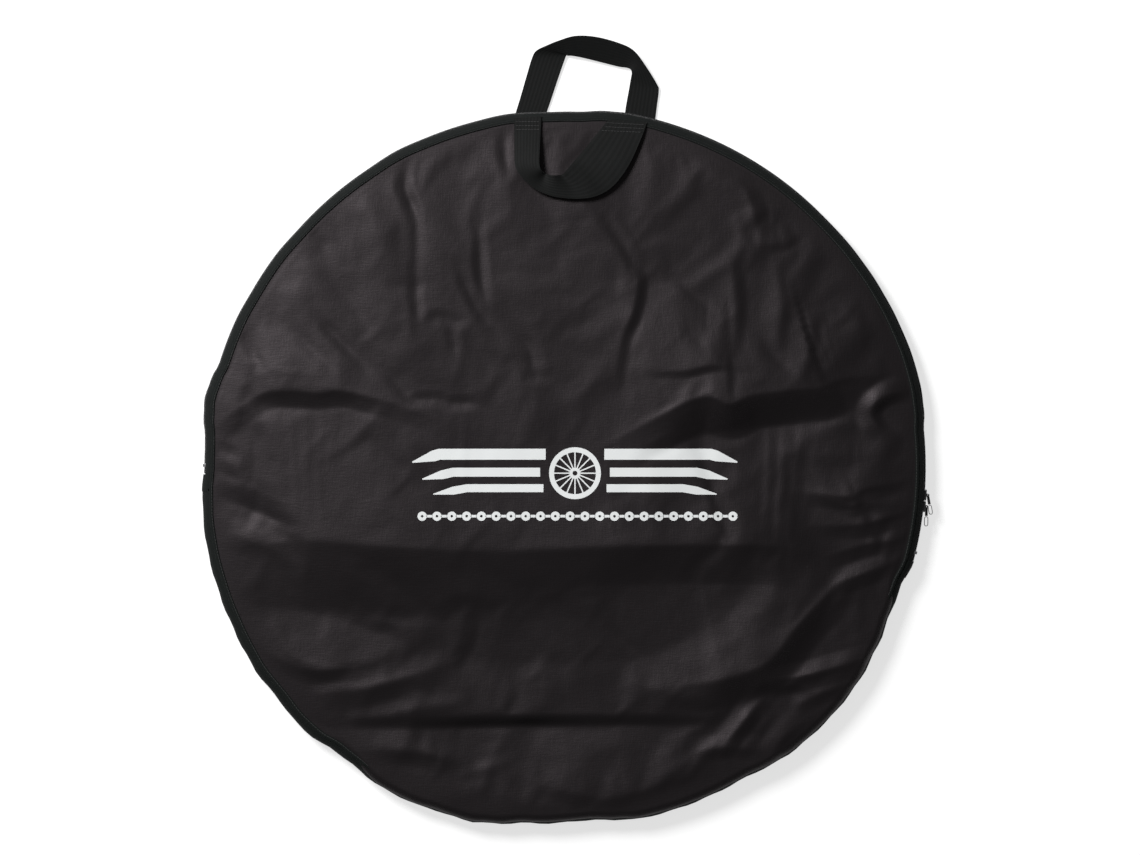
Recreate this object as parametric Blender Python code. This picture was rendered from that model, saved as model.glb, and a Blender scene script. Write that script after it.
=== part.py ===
# A round fabric bag that carries one bicycle wheel, empty and zipped shut.
# It lies on its back panel with the front panel up and the handles at the +Y side.
# Lengths are in metres, Z is up, and the origin is the middle of the back panel,
# on the surface that the bag lies on.

import math

import bmesh
import bpy
from mathutils import Matrix, Vector

MM = 0.001

# The shell. The zip stands between two panels, and its coil is the outermost line.
RIM_RADIUS = 363.5 * MM
SEAM_INSET = 12.5 * MM
BACK_SEAM = 2.8 * MM
SEAM_RISE = 10.2 * MM
PANEL_THICKNESS = 0.8 * MM
FRONT_CROWN = 5.0 * MM
FOLD_OFFSET = 60.0 * MM
GAP = 0.3 * MM
MERGE_DISTANCE = 0.001 * MM
ARC_STEP = 3.0
FULL_TURN = 360.0
QUARTER_TURN = 90.0
FRONT_RING_SHARES = (0.0, 0.4, 0.75, 1.0)
BACK_FLAT_SHARE = 0.95

# Binding tape over both seams
BINDING_WIDTH = 4.7 * MM
BINDING_THICKNESS = 3.0 * MM
BINDING_EDGE_SHARE = 0.3

# The zip: two rows of coil on their tapes, and the strip that closes the rest of the rim
COIL_WIDTH = 2.4 * MM
COIL_DEPTH = 2.0 * MM
COIL_CORNER_SHARE = 0.25
ROW_GAP = 1.5 * MM
TAPE_THICKNESS = 0.6 * MM
TAPE_UPRIGHT = 6.0 * MM
ZIP_RIGHT_ANGLE = -15.0
ZIP_LEFT_ANGLE = 181.0
END_TAB_LENGTH = 17.0 * MM
STRIP_THICKNESS = 0.8 * MM
STRIP_RISE_SHARES = ((0.74, 0.62), (0.36, 0.93), (0.0, 1.0))
STOP_LENGTH = 3.0 * MM
STOP_SETBACK = 9.0 * MM
STOP_THICKNESS = 0.8 * MM

# The rim below the zip isn't quite round: angle, and how far it stands off the circle
# as a share of the seam's radius
LOWER_EDGE_SHARES = (
    (183.0, 0.0),
    (198.0, 0.013),
    (218.0, 0.021),
    (234.0, 0.011),
    (248.0, 0.014),
    (261.0, 0.0),
    (273.0, -0.024),
    (287.0, -0.008),
    (300.0, -0.010),
    (314.0, 0.009),
    (328.0, 0.0),
    (342.0, 0.0),
)

# Sliders, measured along the rim, across it and outwards from the middle of the coil
SLIDER_LENGTH = 11.2 * MM
SLIDER_WIDTH = 9.4 * MM
SLIDER_TAIL_WIDTH = 8.4 * MM
SLIDER_PLATE = 1.1 * MM
SLIDER_CLEARANCE = 0.4 * MM
SLIDER_RAIL = 0.95 * MM
SLIDER_RAIL_SHARE = 0.75
SLIDER_BEVEL = 0.3 * MM
SLIDER_NOSE_SHARES = ((1.0, 0.5), (0.8, 1.0), (0.1, 1.0))
SLIDER_TAIL_SHARES = ((-0.8, 1.0), (-1.0, 0.8))
POST_THICKNESS = 0.7 * MM
POST_LENGTH = 3.8 * MM
POST_SETBACK = 0.7 * MM
SLIDER_SPACING = 11.6 * MM
UPPER_SLIDER_ANGLE = -4.3
JOIN_OVERLAP = 0.2 * MM

# Ears that hold the pull's pin, the pin, and the pull itself
EAR_SPACING = 4.0 * MM
EAR_THICKNESS = 0.9 * MM
EAR_LENGTH = 3.2 * MM
EAR_TOP_SHARE = 0.6
PIN_RADIUS = 0.45 * MM
PIN_CLEARANCE = 0.35 * MM
EYE_WALL = 0.55 * MM
PULL_THICKNESS = 1.0 * MM
PULL_SHANK_LENGTH = 9.2 * MM
PULL_SHANK_WIDTH = 2.5 * MM
PULL_SHANK_FLARE_SHARE = 1.1
PULL_LOOP_LENGTH = 10.4 * MM
PULL_LOOP_WIDTH = 4.5 * MM
PULL_WIRE = 1.0 * MM
PULL_BEND_STEPS = 8
PULL_PLANE_OFFSET = 1.15 * MM
UPPER_PULL_TILT = 14.0
LOWER_PULL_TILT = 5.0

# Handles of flat webbing, as paths in shares of half the span and of the reach,
# with the width there as a share of the webbing's width
WEBBING_WIDTH = 29.6 * MM
WEBBING_THICKNESS = 2.0 * MM
HANDLE_STEPS = 4
BACK_HANDLE_DROP = 2.5 * MM
BACK_HANDLE_BEARING = 86.7
BACK_HANDLE_SPAN = 109.0 * MM
BACK_HANDLE_REACH = 71.0 * MM
BACK_HANDLE_SHARES = (
    (-1.0, 0.0, 1.0),
    (-0.90, 0.35, 1.0),
    (-0.72, 0.78, 0.86),
    (-0.33, 0.97, 0.56),
    (0.27, 0.94, 0.72),
    (0.84, 0.80, 0.56),
    (1.04, 0.56, 0.86),
    (1.06, 0.30, 1.0),
    (1.0, 0.0, 1.0),
)
FRONT_HANDLE_BEARING = 87.6
FRONT_HANDLE_SPAN = 102.0 * MM
FRONT_HANDLE_REACH = 71.0 * MM
FRONT_HANDLE_SHARES = (
    (-1.0, 0.0, 0.9),
    (-0.97, 0.40, 1.0),
    (-0.70, 0.80, 1.05),
    (-0.20, 0.98, 1.0),
    (0.30, 0.84, 1.0),
    (0.66, 0.46, 1.0),
    (1.0, 0.0, 1.05),
)

# Worked out from the sizes above
SEAM_RADIUS = RIM_RADIUS - SEAM_INSET
BINDING_INNER = SEAM_RADIUS + GAP
BINDING_OUTER = BINDING_INNER + BINDING_WIDTH
TAPE_FOOT_RADIUS = BINDING_OUTER + GAP
COIL_RADIUS = RIM_RADIUS - COIL_DEPTH / 2
TAPE_RADIUS = RIM_RADIUS - COIL_DEPTH - GAP
ZIP_HEIGHT = BACK_SEAM + SEAM_RISE
FRONT_SEAM = ZIP_HEIGHT + SEAM_RISE
SLIDER_TOP = COIL_DEPTH / 2 + SLIDER_CLEARANCE + SLIDER_PLATE
PIN_HEIGHT = SLIDER_TOP + GAP + EYE_WALL + PIN_RADIUS + PIN_CLEARANCE
EYE_RADIUS = PIN_RADIUS + PIN_CLEARANCE + EYE_WALL
EAR_HEIGHT = PIN_HEIGHT + PIN_RADIUS + PIN_CLEARANCE + EYE_WALL


def arc_degrees(length):
    """The angle that a length along the coil covers."""
    return math.degrees(length / COIL_RADIUS)


def clear_scene():
    for obj in list(bpy.data.objects):
        bpy.data.objects.remove(obj, do_unlink=True)


def make_material(name, color, roughness, metallic=0.0):
    material = bpy.data.materials.new(name)
    material.use_nodes = True
    shader = material.node_tree.nodes["Principled BSDF"]
    shader.inputs["Base Color"].default_value = (*color, 1.0)
    shader.inputs["Roughness"].default_value = roughness
    shader.inputs["Metallic"].default_value = metallic
    return material


def make_empty(name, location, parent=None, turn=0.0):
    empty = bpy.data.objects.new(name, None)
    bpy.context.collection.objects.link(empty)
    empty.location = location
    empty.rotation_euler.z = math.radians(turn)
    empty.parent = parent
    return empty


def make_object(name, bm, material, parent=None, origin=Vector((0, 0, 0)), turn=0.0):
    """Makes a named object. Its mesh and its origin are given in its parent's axes."""
    bmesh.ops.translate(bm, verts=bm.verts, vec=-origin)
    bmesh.ops.recalc_face_normals(bm, faces=bm.faces)
    mesh = bpy.data.meshes.new(name)
    bm.to_mesh(mesh)
    bm.free()
    mesh.shade_smooth()
    mesh.set_sharp_from_angle(angle=math.radians(35))
    mesh.materials.append(material)
    obj = bpy.data.objects.new(name, mesh)
    bpy.context.collection.objects.link(obj)
    obj.location = origin
    obj.rotation_euler.z = math.radians(turn)
    obj.parent = parent
    return obj


def close_holes(bm):
    bmesh.ops.holes_fill(bm, edges=[edge for edge in bm.edges if edge.is_boundary])


def swept_ring(section, start=0.0, end=FULL_TURN):
    """Turns a closed section of radius and height pairs round the bag's axis."""
    bm = bmesh.new()
    verts = [bm.verts.new((radius, 0, height)) for radius, height in section]
    edges = [bm.edges.new((verts[i - 1], vert)) for i, vert in enumerate(verts)]
    turn = Matrix.Rotation(math.radians(start), 3, "Z")
    bmesh.ops.rotate(bm, verts=verts, cent=(0, 0, 0), matrix=turn)
    full = end - start >= FULL_TURN
    bmesh.ops.spin(
        bm,
        geom=verts + edges,
        cent=(0, 0, 0),
        axis=(0, 0, 1),
        angle=math.radians(end - start),
        steps=max(1, round((end - start) / ARC_STEP)),
        use_merge=full,
    )
    if not full:
        close_holes(bm)
    return bm


def turned_panel(profile):
    """Turns an open profile, from the axis to the rim and back, into a closed disc."""
    bm = bmesh.new()
    verts = [bm.verts.new((radius, 0, height)) for radius, height in profile]
    edges = [bm.edges.new(pair) for pair in zip(verts, verts[1:])]
    bmesh.ops.spin(
        bm,
        geom=verts + edges,
        cent=(0, 0, 0),
        axis=(0, 0, 1),
        angle=math.tau,
        steps=round(FULL_TURN / ARC_STEP),
        use_merge=True,
    )
    bmesh.ops.remove_doubles(bm, verts=bm.verts, dist=MERGE_DISTANCE)
    return bm


def lower_edge_share(angle):
    """How far the rim stands off its circle at an angle, eased between the given ones."""
    for (first, low), (last, high) in zip(LOWER_EDGE_SHARES, LOWER_EDGE_SHARES[1:]):
        if first <= angle <= last:
            way = (angle - first) / (last - first)
            return low + (high - low) * (3 - 2 * way) * way * way
    return 0.0


def follow_outline(bm):
    """Draws a round piece out or in to the rim's real outline below the zip."""
    for vert in bm.verts:
        reach = math.hypot(vert.co.x, vert.co.y)
        angle = math.degrees(math.atan2(vert.co.y, vert.co.x)) % FULL_TURN
        scale = 1 + lower_edge_share(angle) * (reach / SEAM_RADIUS) ** 2
        vert.co.x *= scale
        vert.co.y *= scale
    return bm


def cut_away(bm, point, outward):
    """Removes what lies on the outward side of a plane and closes the cut."""
    geometry = bm.verts[:] + bm.edges[:] + bm.faces[:]
    bmesh.ops.bisect_plane(
        bm,
        geom=geometry,
        dist=MERGE_DISTANCE,
        plane_co=point,
        plane_no=outward,
        clear_outer=True,
    )
    close_holes(bm)
    return bm


def below_fold(bm):
    return cut_away(bm, Vector((0, FOLD_OFFSET - GAP / 2, 0)), Vector((0, 1, 0)))


def above_fold(bm, flap_origin):
    """Keeps what moves with the flap, in the axes of the flap's own origin."""
    cut_away(bm, Vector((0, FOLD_OFFSET + GAP / 2, 0)), Vector((0, -1, 0)))
    bmesh.ops.translate(bm, verts=bm.verts, vec=-flap_origin)
    return bm


def right_side(bm):
    return cut_away(bm, Vector((0, 0, 0)), Vector((-1, 0, 0)))


def left_side(bm):
    return cut_away(bm, Vector((0, 0, 0)), Vector((1, 0, 0)))


def sheet_section(outer, thickness):
    """Closes a line of outer points with the same line set inwards by the thickness."""
    points = [Vector(point) for point in outer]
    inner = []
    for i, point in enumerate(points):
        before = points[max(i - 1, 0)]
        after = points[min(i + 1, len(points) - 1)]
        along = (after - before).normalized()
        inner.append(point + Vector((along.y, -along.x)) * thickness)
    return points + inner[::-1]


def front_height(share):
    """Top of the front panel at a share of the seam's radius."""
    return FRONT_SEAM + PANEL_THICKNESS / 2 + FRONT_CROWN * (1 - share * share)


def front_panel():
    top = [(share * SEAM_RADIUS, front_height(share)) for share in FRONT_RING_SHARES]
    under = [(radius, height - PANEL_THICKNESS) for radius, height in reversed(top)]
    return follow_outline(turned_panel(top + under))


def back_panel():
    flat = BACK_FLAT_SHARE * SEAM_RADIUS
    under = [(0, 0), (flat, 0), (SEAM_RADIUS, BACK_SEAM - PANEL_THICKNESS / 2)]
    top = [(radius, height + PANEL_THICKNESS) for radius, height in reversed(under)]
    return follow_outline(turned_panel(under + top))


def binding(height):
    half = BINDING_THICKNESS / 2
    edge = BINDING_EDGE_SHARE * BINDING_THICKNESS
    middle = (BINDING_INNER + BINDING_OUTER) / 2
    section = [
        (BINDING_INNER, height - edge),
        (middle, height - half),
        (BINDING_OUTER, height - edge),
        (BINDING_OUTER, height + edge),
        (middle, height + half),
        (BINDING_INNER, height + edge),
    ]
    return follow_outline(swept_ring(section))


def zip_tape(side):
    """One tape, from beside the slit up or down to its seam: side is 1 or -1."""
    foot = ZIP_HEIGHT + side * SEAM_RISE
    outer = [
        (TAPE_RADIUS, ZIP_HEIGHT + side * ROW_GAP / 2),
        (TAPE_RADIUS, ZIP_HEIGHT + side * TAPE_UPRIGHT),
        (TAPE_FOOT_RADIUS + TAPE_THICKNESS, foot),
    ]
    if side > 0:
        outer.reverse()
    return swept_ring(sheet_section(outer, TAPE_THICKNESS), ZIP_RIGHT_ANGLE, ZIP_LEFT_ANGLE)


def zip_coil(side):
    """One row of the coil, as a solid of its outer shape."""
    corner = COIL_CORNER_SHARE * COIL_WIDTH
    inner = RIM_RADIUS - COIL_DEPTH
    near = ZIP_HEIGHT + side * ROW_GAP / 2
    far = near + side * COIL_WIDTH
    section = [
        (inner, near),
        (RIM_RADIUS - corner, near),
        (RIM_RADIUS, near + side * corner),
        (RIM_RADIUS, far - side * corner),
        (RIM_RADIUS - corner, far),
        (inner, far),
    ]
    return swept_ring(section, ZIP_RIGHT_ANGLE, ZIP_LEFT_ANGLE)


def side_strip(start, end):
    """Fabric that runs from seam to seam and bulges outwards to the rim."""
    foot = TAPE_FOOT_RADIUS + STRIP_THICKNESS
    half = [
        (foot + (RIM_RADIUS - foot) * out, ZIP_HEIGHT + SEAM_RISE * rise)
        for rise, out in ((1.0, 0.0), *STRIP_RISE_SHARES)
    ]
    lower = [(radius, 2 * ZIP_HEIGHT - height) for radius, height in reversed(half[:-1])]
    section = sheet_section(half + lower, STRIP_THICKNESS)
    return swept_ring(section, start, end)


def prism(points, offset):
    """A flat outline extruded by an offset."""
    bm = bmesh.new()
    face = bm.faces.new([bm.verts.new(point) for point in points])
    grown = bmesh.ops.extrude_face_region(bm, geom=[face])["geom"]
    moved = [item for item in grown if isinstance(item, bmesh.types.BMVert)]
    bmesh.ops.translate(bm, verts=moved, vec=offset)
    bmesh.ops.recalc_face_normals(bm, faces=bm.faces)
    return bm


def rod(radius, length, centre, sides=16):
    """A cylinder along Z."""
    bm = bmesh.new()
    bmesh.ops.create_cone(
        bm,
        cap_ends=True,
        segments=sides,
        radius1=radius,
        radius2=radius,
        depth=length,
        matrix=Matrix.Translation(centre),
    )
    return bm


def combined(base, others, operation):
    """The union or difference of closed meshes, as one mesh."""
    helpers = []
    for bm in (base, *others):
        mesh = bpy.data.meshes.new("helper")
        bm.to_mesh(mesh)
        bm.free()
        helper = bpy.data.objects.new("helper", mesh)
        bpy.context.collection.objects.link(helper)
        helpers.append(helper)
    for helper in helpers[1:]:
        modifier = helpers[0].modifiers.new("combine", "BOOLEAN")
        modifier.operation = operation
        modifier.solver = "EXACT"
        modifier.object = helper
    evaluated = helpers[0].evaluated_get(bpy.context.evaluated_depsgraph_get())
    result = bmesh.new()
    result.from_mesh(evaluated.to_mesh())
    for helper in helpers:
        bpy.data.objects.remove(helper, do_unlink=True)
    return result


def runs_across(edge, direction):
    span = edge.verts[1].co - edge.verts[0].co
    along = span.project(direction)
    return along.length < (span - along).length


def bevel_rims(bm, direction, width):
    """Rounds the rims of both flat faces of a plate whose thickness lies along a direction."""
    edges = [edge for edge in bm.edges if runs_across(edge, direction)]
    bmesh.ops.bevel(
        bm,
        geom=edges,
        offset=width,
        segments=1,
        profile=0.5,
        affect="EDGES",
        material=-1,
    )
    return bm


def slider_plate(low, high, nose):
    """A wing of the slider: its outline along the rim and across it, made thick."""
    end = nose * SLIDER_LENGTH / 2
    front = [(end * x, SLIDER_WIDTH / 2 * y) for x, y in SLIDER_NOSE_SHARES]
    rear = [(end * x, SLIDER_TAIL_WIDTH / 2 * y) for x, y in SLIDER_TAIL_SHARES]
    half = front + rear
    outline = half + [(along, -across) for along, across in reversed(half)]
    points = [Vector((COIL_RADIUS + low, along, across)) for along, across in outline]
    plate = prism(points, Vector((high - low, 0, 0)))
    return bevel_rims(plate, Vector((1, 0, 0)), SLIDER_BEVEL)


def box(low, high):
    """A block between two corners."""
    bm = bmesh.new()
    bmesh.ops.create_cube(bm, size=1.0)
    bmesh.ops.scale(bm, verts=bm.verts, vec=high - low)
    bmesh.ops.translate(bm, verts=bm.verts, vec=(low + high) / 2)
    return bm


def slider_body(nose):
    """Two wings joined by a post, with rails round the coil and ears for the pin."""
    inside = COIL_DEPTH / 2 + SLIDER_CLEARANCE
    tape_inside = COIL_DEPTH / 2 + GAP + TAPE_THICKNESS + SLIDER_CLEARANCE
    outer_wing = slider_plate(inside, SLIDER_TOP, nose)
    inner_wing = slider_plate(-tape_inside - SLIDER_PLATE, -tape_inside, nose)
    post_end = nose * (SLIDER_LENGTH / 2 - POST_SETBACK)
    post_start = post_end - nose * POST_LENGTH
    post_low = COIL_RADIUS - tape_inside - JOIN_OVERLAP
    post_high = COIL_RADIUS + inside + JOIN_OVERLAP
    post = box(
        Vector((post_low, min(post_start, post_end), -POST_THICKNESS / 2)),
        Vector((post_high, max(post_start, post_end), POST_THICKNESS / 2)),
    )
    pieces = [inner_wing, post]
    rail_inner = ROW_GAP / 2 + COIL_WIDTH + SLIDER_CLEARANCE
    rail_half = SLIDER_RAIL_SHARE * SLIDER_LENGTH / 2
    rail_foot = -COIL_DEPTH / 2 - GAP + SLIDER_CLEARANCE
    for side in (-1, 1):
        near = side * rail_inner
        far = side * min(rail_inner + SLIDER_RAIL, SLIDER_TAIL_WIDTH / 2)
        pieces.append(
            box(
                Vector((COIL_RADIUS + rail_foot, -rail_half, min(near, far))),
                Vector((post_high, rail_half, max(near, far))),
            )
        )
        ear_near = side * EAR_SPACING / 2
        ear_top = EAR_LENGTH / 2 * EAR_TOP_SHARE
        outline = [
            (SLIDER_TOP - JOIN_OVERLAP, -EAR_LENGTH / 2),
            (PIN_HEIGHT, -EAR_LENGTH / 2),
            (EAR_HEIGHT, -ear_top),
            (EAR_HEIGHT, ear_top),
            (PIN_HEIGHT, EAR_LENGTH / 2),
            (SLIDER_TOP - JOIN_OVERLAP, EAR_LENGTH / 2),
        ]
        points = [Vector((COIL_RADIUS + out, along, ear_near)) for out, along in outline]
        pieces.append(prism(points, Vector((0, 0, side * EAR_THICKNESS))))
    body = combined(outer_wing, pieces, "UNION")
    hole_length = EAR_SPACING + 4 * EAR_THICKNESS
    hole_place = Vector((COIL_RADIUS + PIN_HEIGHT, 0, 0))
    hole = rod(PIN_RADIUS + PIN_CLEARANCE, hole_length, hole_place)
    return combined(body, [hole], "DIFFERENCE")


def pull_shank(offset):
    """The flat shank with its eye round the pin. It runs along -Y from the pin."""
    height = PULL_THICKNESS
    low = Vector((0, 0, offset - height / 2))
    half = PULL_SHANK_WIDTH / 2
    flared = PULL_SHANK_FLARE_SHARE * half
    bar = prism(
        [
            low + Vector((-half, -EYE_RADIUS / 2, 0)),
            low + Vector((half, -EYE_RADIUS / 2, 0)),
            low + Vector((flared, -PULL_SHANK_LENGTH, 0)),
            low + Vector((-flared, -PULL_SHANK_LENGTH, 0)),
        ],
        Vector((0, 0, height)),
    )
    eye = rod(EYE_RADIUS, height, Vector((0, 0, offset)))
    hole = rod(PIN_RADIUS + PIN_CLEARANCE, 2 * height, Vector((0, 0, offset)))
    return combined(combined(bar, [eye], "UNION"), [hole], "DIFFERENCE")


def pull_loop(name, material, parent, offset):
    """The oval of wire beyond the shank, as a closed curve with a round bevel."""
    curve = bpy.data.curves.new(name, "CURVE")
    curve.dimensions = "3D"
    curve.bevel_depth = PULL_WIRE / 2
    curve.bevel_resolution = 1
    radius = (PULL_LOOP_WIDTH - PULL_WIRE) / 2
    straight = PULL_LOOP_LENGTH - PULL_LOOP_WIDTH
    near = PULL_SHANK_LENGTH + GAP + PULL_LOOP_WIDTH / 2
    points = []
    for centre, first in ((near, 0.0), (near + straight, 180.0)):
        for step in range(PULL_BEND_STEPS + 1):
            angle = math.radians(first + 180.0 * step / PULL_BEND_STEPS)
            points.append((radius * math.cos(angle), -centre + radius * math.sin(angle)))
    spline = curve.splines.new("POLY")
    spline.points.add(len(points) - 1)
    for point, (across, along) in zip(spline.points, points):
        point.co = (across, along, offset, 1.0)
    spline.use_cyclic_u = True
    curve.materials.append(material)
    obj = bpy.data.objects.new(name, curve)
    bpy.context.collection.objects.link(obj)
    obj.parent = parent
    return obj


def zip_stop():
    """A metal clip pinched over both rows, drawn where the bag's X axis meets the coil."""
    half_width = ROW_GAP / 2 + COIL_WIDTH + GAP + STOP_THICKNESS
    top = COIL_DEPTH / 2 + GAP
    half = STOP_LENGTH / 2
    plate = box(
        Vector((COIL_RADIUS + top, -half, -half_width)),
        Vector((COIL_RADIUS + top + STOP_THICKNESS, half, half_width)),
    )
    legs = []
    for side in (-1, 1):
        near = side * (half_width - STOP_THICKNESS)
        far = side * half_width
        legs.append(
            box(
                Vector((COIL_RADIUS - COIL_DEPTH / 2, -half, min(near, far))),
                Vector((COIL_RADIUS + top + JOIN_OVERLAP, half, max(near, far))),
            )
        )
    return combined(plate, legs, "UNION")


def curve_through(points, steps):
    """Points of a smooth curve through the given ones, with the ends kept."""
    points = [Vector(point) for point in points]
    smooth = []
    for i in range(len(points) - 1):
        before = points[max(i - 1, 0)]
        start = points[i]
        end = points[i + 1]
        after = points[min(i + 2, len(points) - 1)]
        for step in range(steps):
            t = step / steps
            bend = (2 * before - 5 * start + 4 * end - after) * t * t
            twist = (3 * start - before - 3 * end + after) * t * t * t
            smooth.append((2 * start + (end - before) * t + bend + twist) / 2)
    return smooth + [points[-1]]


def webbing_loop(shares, span, reach, foot, low):
    """A flat loop of webbing in the handle's own axes: X along the hinge, Y outwards.
    A negative reach lays the loop inwards, over the panel. Its ends are cut along the hinge."""
    path = curve_through(shares, HANDLE_STEPS)
    centres = [Vector((across * span / 2, foot + up * reach, 0)) for across, up, width in path]
    rails = []
    last = len(centres) - 1
    for i, centre in enumerate(centres):
        along = (centres[min(i + 1, last)] - centres[max(i - 1, 0)]).normalized()
        if i in (0, last):
            along = Vector((0, math.copysign(1, reach) * (1 if i == 0 else -1), 0))
        aside = Vector((along.y, -along.x, 0)) * path[i].z * WEBBING_WIDTH / 2
        pair = (centre + aside, centre - aside)
        for point in pair:
            point.y = max(point.y, foot) if reach > 0 else min(point.y, foot)
        rails.append(pair)
    bm = bmesh.new()
    height = Vector((0, 0, low))
    pairs = [tuple(bm.verts.new(point + height) for point in pair) for pair in rails]
    faces = [
        bm.faces.new((first[0], second[0], second[1], first[1]))
        for first, second in zip(pairs, pairs[1:])
    ]
    grown = bmesh.ops.extrude_face_region(bm, geom=faces)["geom"]
    moved = [item for item in grown if isinstance(item, bmesh.types.BMVert)]
    bmesh.ops.translate(bm, verts=moved, vec=(0, 0, WEBBING_THICKNESS))
    return bm


def at_bearing(bearing, distance, height):
    """A point at a distance from the bag's axis, in a direction given in degrees."""
    turn = Matrix.Rotation(math.radians(bearing), 3, "Z")
    return turn @ Vector((distance, 0, height))


def hinge_distance(span):
    """How far from the bag's axis a handle's hinge lies: its webbing just clears the
    binding at the inner edges of both legs."""
    inner_edge = (span - WEBBING_WIDTH) / 2
    return math.sqrt((BINDING_OUTER + GAP) ** 2 - inner_edge ** 2)


def build():
    clear_scene()
    shell = make_material("shell_fabric", (0.035, 0.031, 0.033), 0.55)
    tape_cloth = make_material("binding_tape", (0.032, 0.036, 0.035), 0.8)
    zip_cloth = make_material("zip_tape", (0.024, 0.024, 0.025), 0.85)
    coil_plastic = make_material("zip_coil", (0.012, 0.012, 0.013), 0.4)
    webbing = make_material("webbing", (0.026, 0.027, 0.027), 0.8)
    black_metal = make_material("slider_metal", (0.015, 0.015, 0.016), 0.35, 0.6)
    bright_metal = make_material("pull_metal", (0.55, 0.55, 0.56), 0.3, 1.0)

    fold_top = front_height(FOLD_OFFSET / SEAM_RADIUS) + GAP
    flap_origin = Vector((0, FOLD_OFFSET, fold_top))
    flap = make_empty("flap_hinge", flap_origin)

    make_object("back_panel", back_panel(), shell)
    make_object("front_panel_lower", below_fold(front_panel()), shell)
    upper_panel = above_fold(front_panel(), flap_origin)
    make_object("front_panel_upper", upper_panel, shell, flap)

    make_object("back_binding", binding(BACK_SEAM), tape_cloth)
    make_object("front_binding_lower", below_fold(binding(FRONT_SEAM)), tape_cloth)
    upper_binding = above_fold(binding(FRONT_SEAM), flap_origin)
    make_object("front_binding_upper", upper_binding, tape_cloth, flap)

    for kind, shape, cloth in (("tape", zip_tape, zip_cloth), ("coil", zip_coil, coil_plastic)):
        make_object(f"zip_{kind}_back", shape(-1), cloth)
        make_object(f"zip_{kind}_front_flap", above_fold(shape(1), flap_origin), cloth, flap)
        make_object(f"zip_{kind}_front_right", right_side(below_fold(shape(1))), cloth)
        make_object(f"zip_{kind}_front_left", left_side(below_fold(shape(1))), cloth)

    gap = arc_degrees(GAP)
    tab = arc_degrees(END_TAB_LENGTH)
    right_tab_end = ZIP_RIGHT_ANGLE - gap - tab
    left_tab_end = ZIP_LEFT_ANGLE + gap + tab
    make_object("zip_end_tab_right", side_strip(right_tab_end, ZIP_RIGHT_ANGLE - gap), webbing)
    make_object("zip_end_tab_left", side_strip(ZIP_LEFT_ANGLE + gap, left_tab_end), webbing)
    strip = side_strip(left_tab_end + gap, FULL_TURN + right_tab_end - gap)
    make_object("side_strip", follow_outline(strip), shell)

    inset = arc_degrees(STOP_SETBACK)
    zip_axis = Vector((0, 0, ZIP_HEIGHT))
    for side, angle in (("right", ZIP_RIGHT_ANGLE + inset), ("left", ZIP_LEFT_ANGLE - inset)):
        stop = make_object(f"zip_stop_{side}", zip_stop(), bright_metal, turn=angle)
        stop.location = zip_axis

    sliders = (
        ("upper", UPPER_SLIDER_ANGLE, -1, UPPER_PULL_TILT, PULL_PLANE_OFFSET),
        (
            "lower",
            UPPER_SLIDER_ANGLE - arc_degrees(SLIDER_SPACING),
            1,
            LOWER_PULL_TILT,
            -PULL_PLANE_OFFSET,
        ),
    )
    for name, angle, nose, tilt, offset in sliders:
        body = make_object(f"slider_{name}_body", slider_body(nose), black_metal, turn=angle)
        body.location = zip_axis
        pin_place = Vector((COIL_RADIUS + PIN_HEIGHT, 0, 0))
        pin_length = EAR_SPACING + 2 * EAR_THICKNESS
        pin = rod(PIN_RADIUS, pin_length, pin_place, sides=12)
        make_object(f"slider_{name}_pin", pin, bright_metal, body, pin_place)
        pivot = make_empty(f"pull_{name}_pivot", pin_place, body, tilt)
        make_object(f"pull_{name}_shank", pull_shank(offset), black_metal, pivot)
        pull_loop(f"pull_{name}_loop", bright_metal, pivot, offset)

    back_low = BACK_SEAM - BACK_HANDLE_DROP
    back_place = at_bearing(
        BACK_HANDLE_BEARING, hinge_distance(BACK_HANDLE_SPAN), back_low - GAP / 2
    )
    back_axis = make_empty(
        "back_handle_hinge", back_place, turn=BACK_HANDLE_BEARING - QUARTER_TURN
    )
    back_loop = webbing_loop(
        BACK_HANDLE_SHARES, BACK_HANDLE_SPAN, BACK_HANDLE_REACH, GAP, GAP / 2
    )
    make_object("back_handle", back_loop, webbing, back_axis)

    lowest_share = 1 - (FRONT_HANDLE_REACH + WEBBING_WIDTH / 2) / SEAM_RADIUS
    front_low = front_height(lowest_share)
    front_place = at_bearing(
        FRONT_HANDLE_BEARING, hinge_distance(FRONT_HANDLE_SPAN) + GAP, front_low + GAP / 2
    )
    front_axis = make_empty(
        "front_handle_hinge",
        front_place - flap_origin,
        flap,
        FRONT_HANDLE_BEARING - QUARTER_TURN,
    )
    front_loop = webbing_loop(
        FRONT_HANDLE_SHARES, FRONT_HANDLE_SPAN, -FRONT_HANDLE_REACH, -GAP, GAP / 2
    )
    make_object("front_handle", front_loop, webbing, front_axis)


build()
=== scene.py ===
import math

import bmesh
import bpy
import numpy as np
from mathutils import Matrix, Vector
from mathutils.bvhtree import BVHTree


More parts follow.
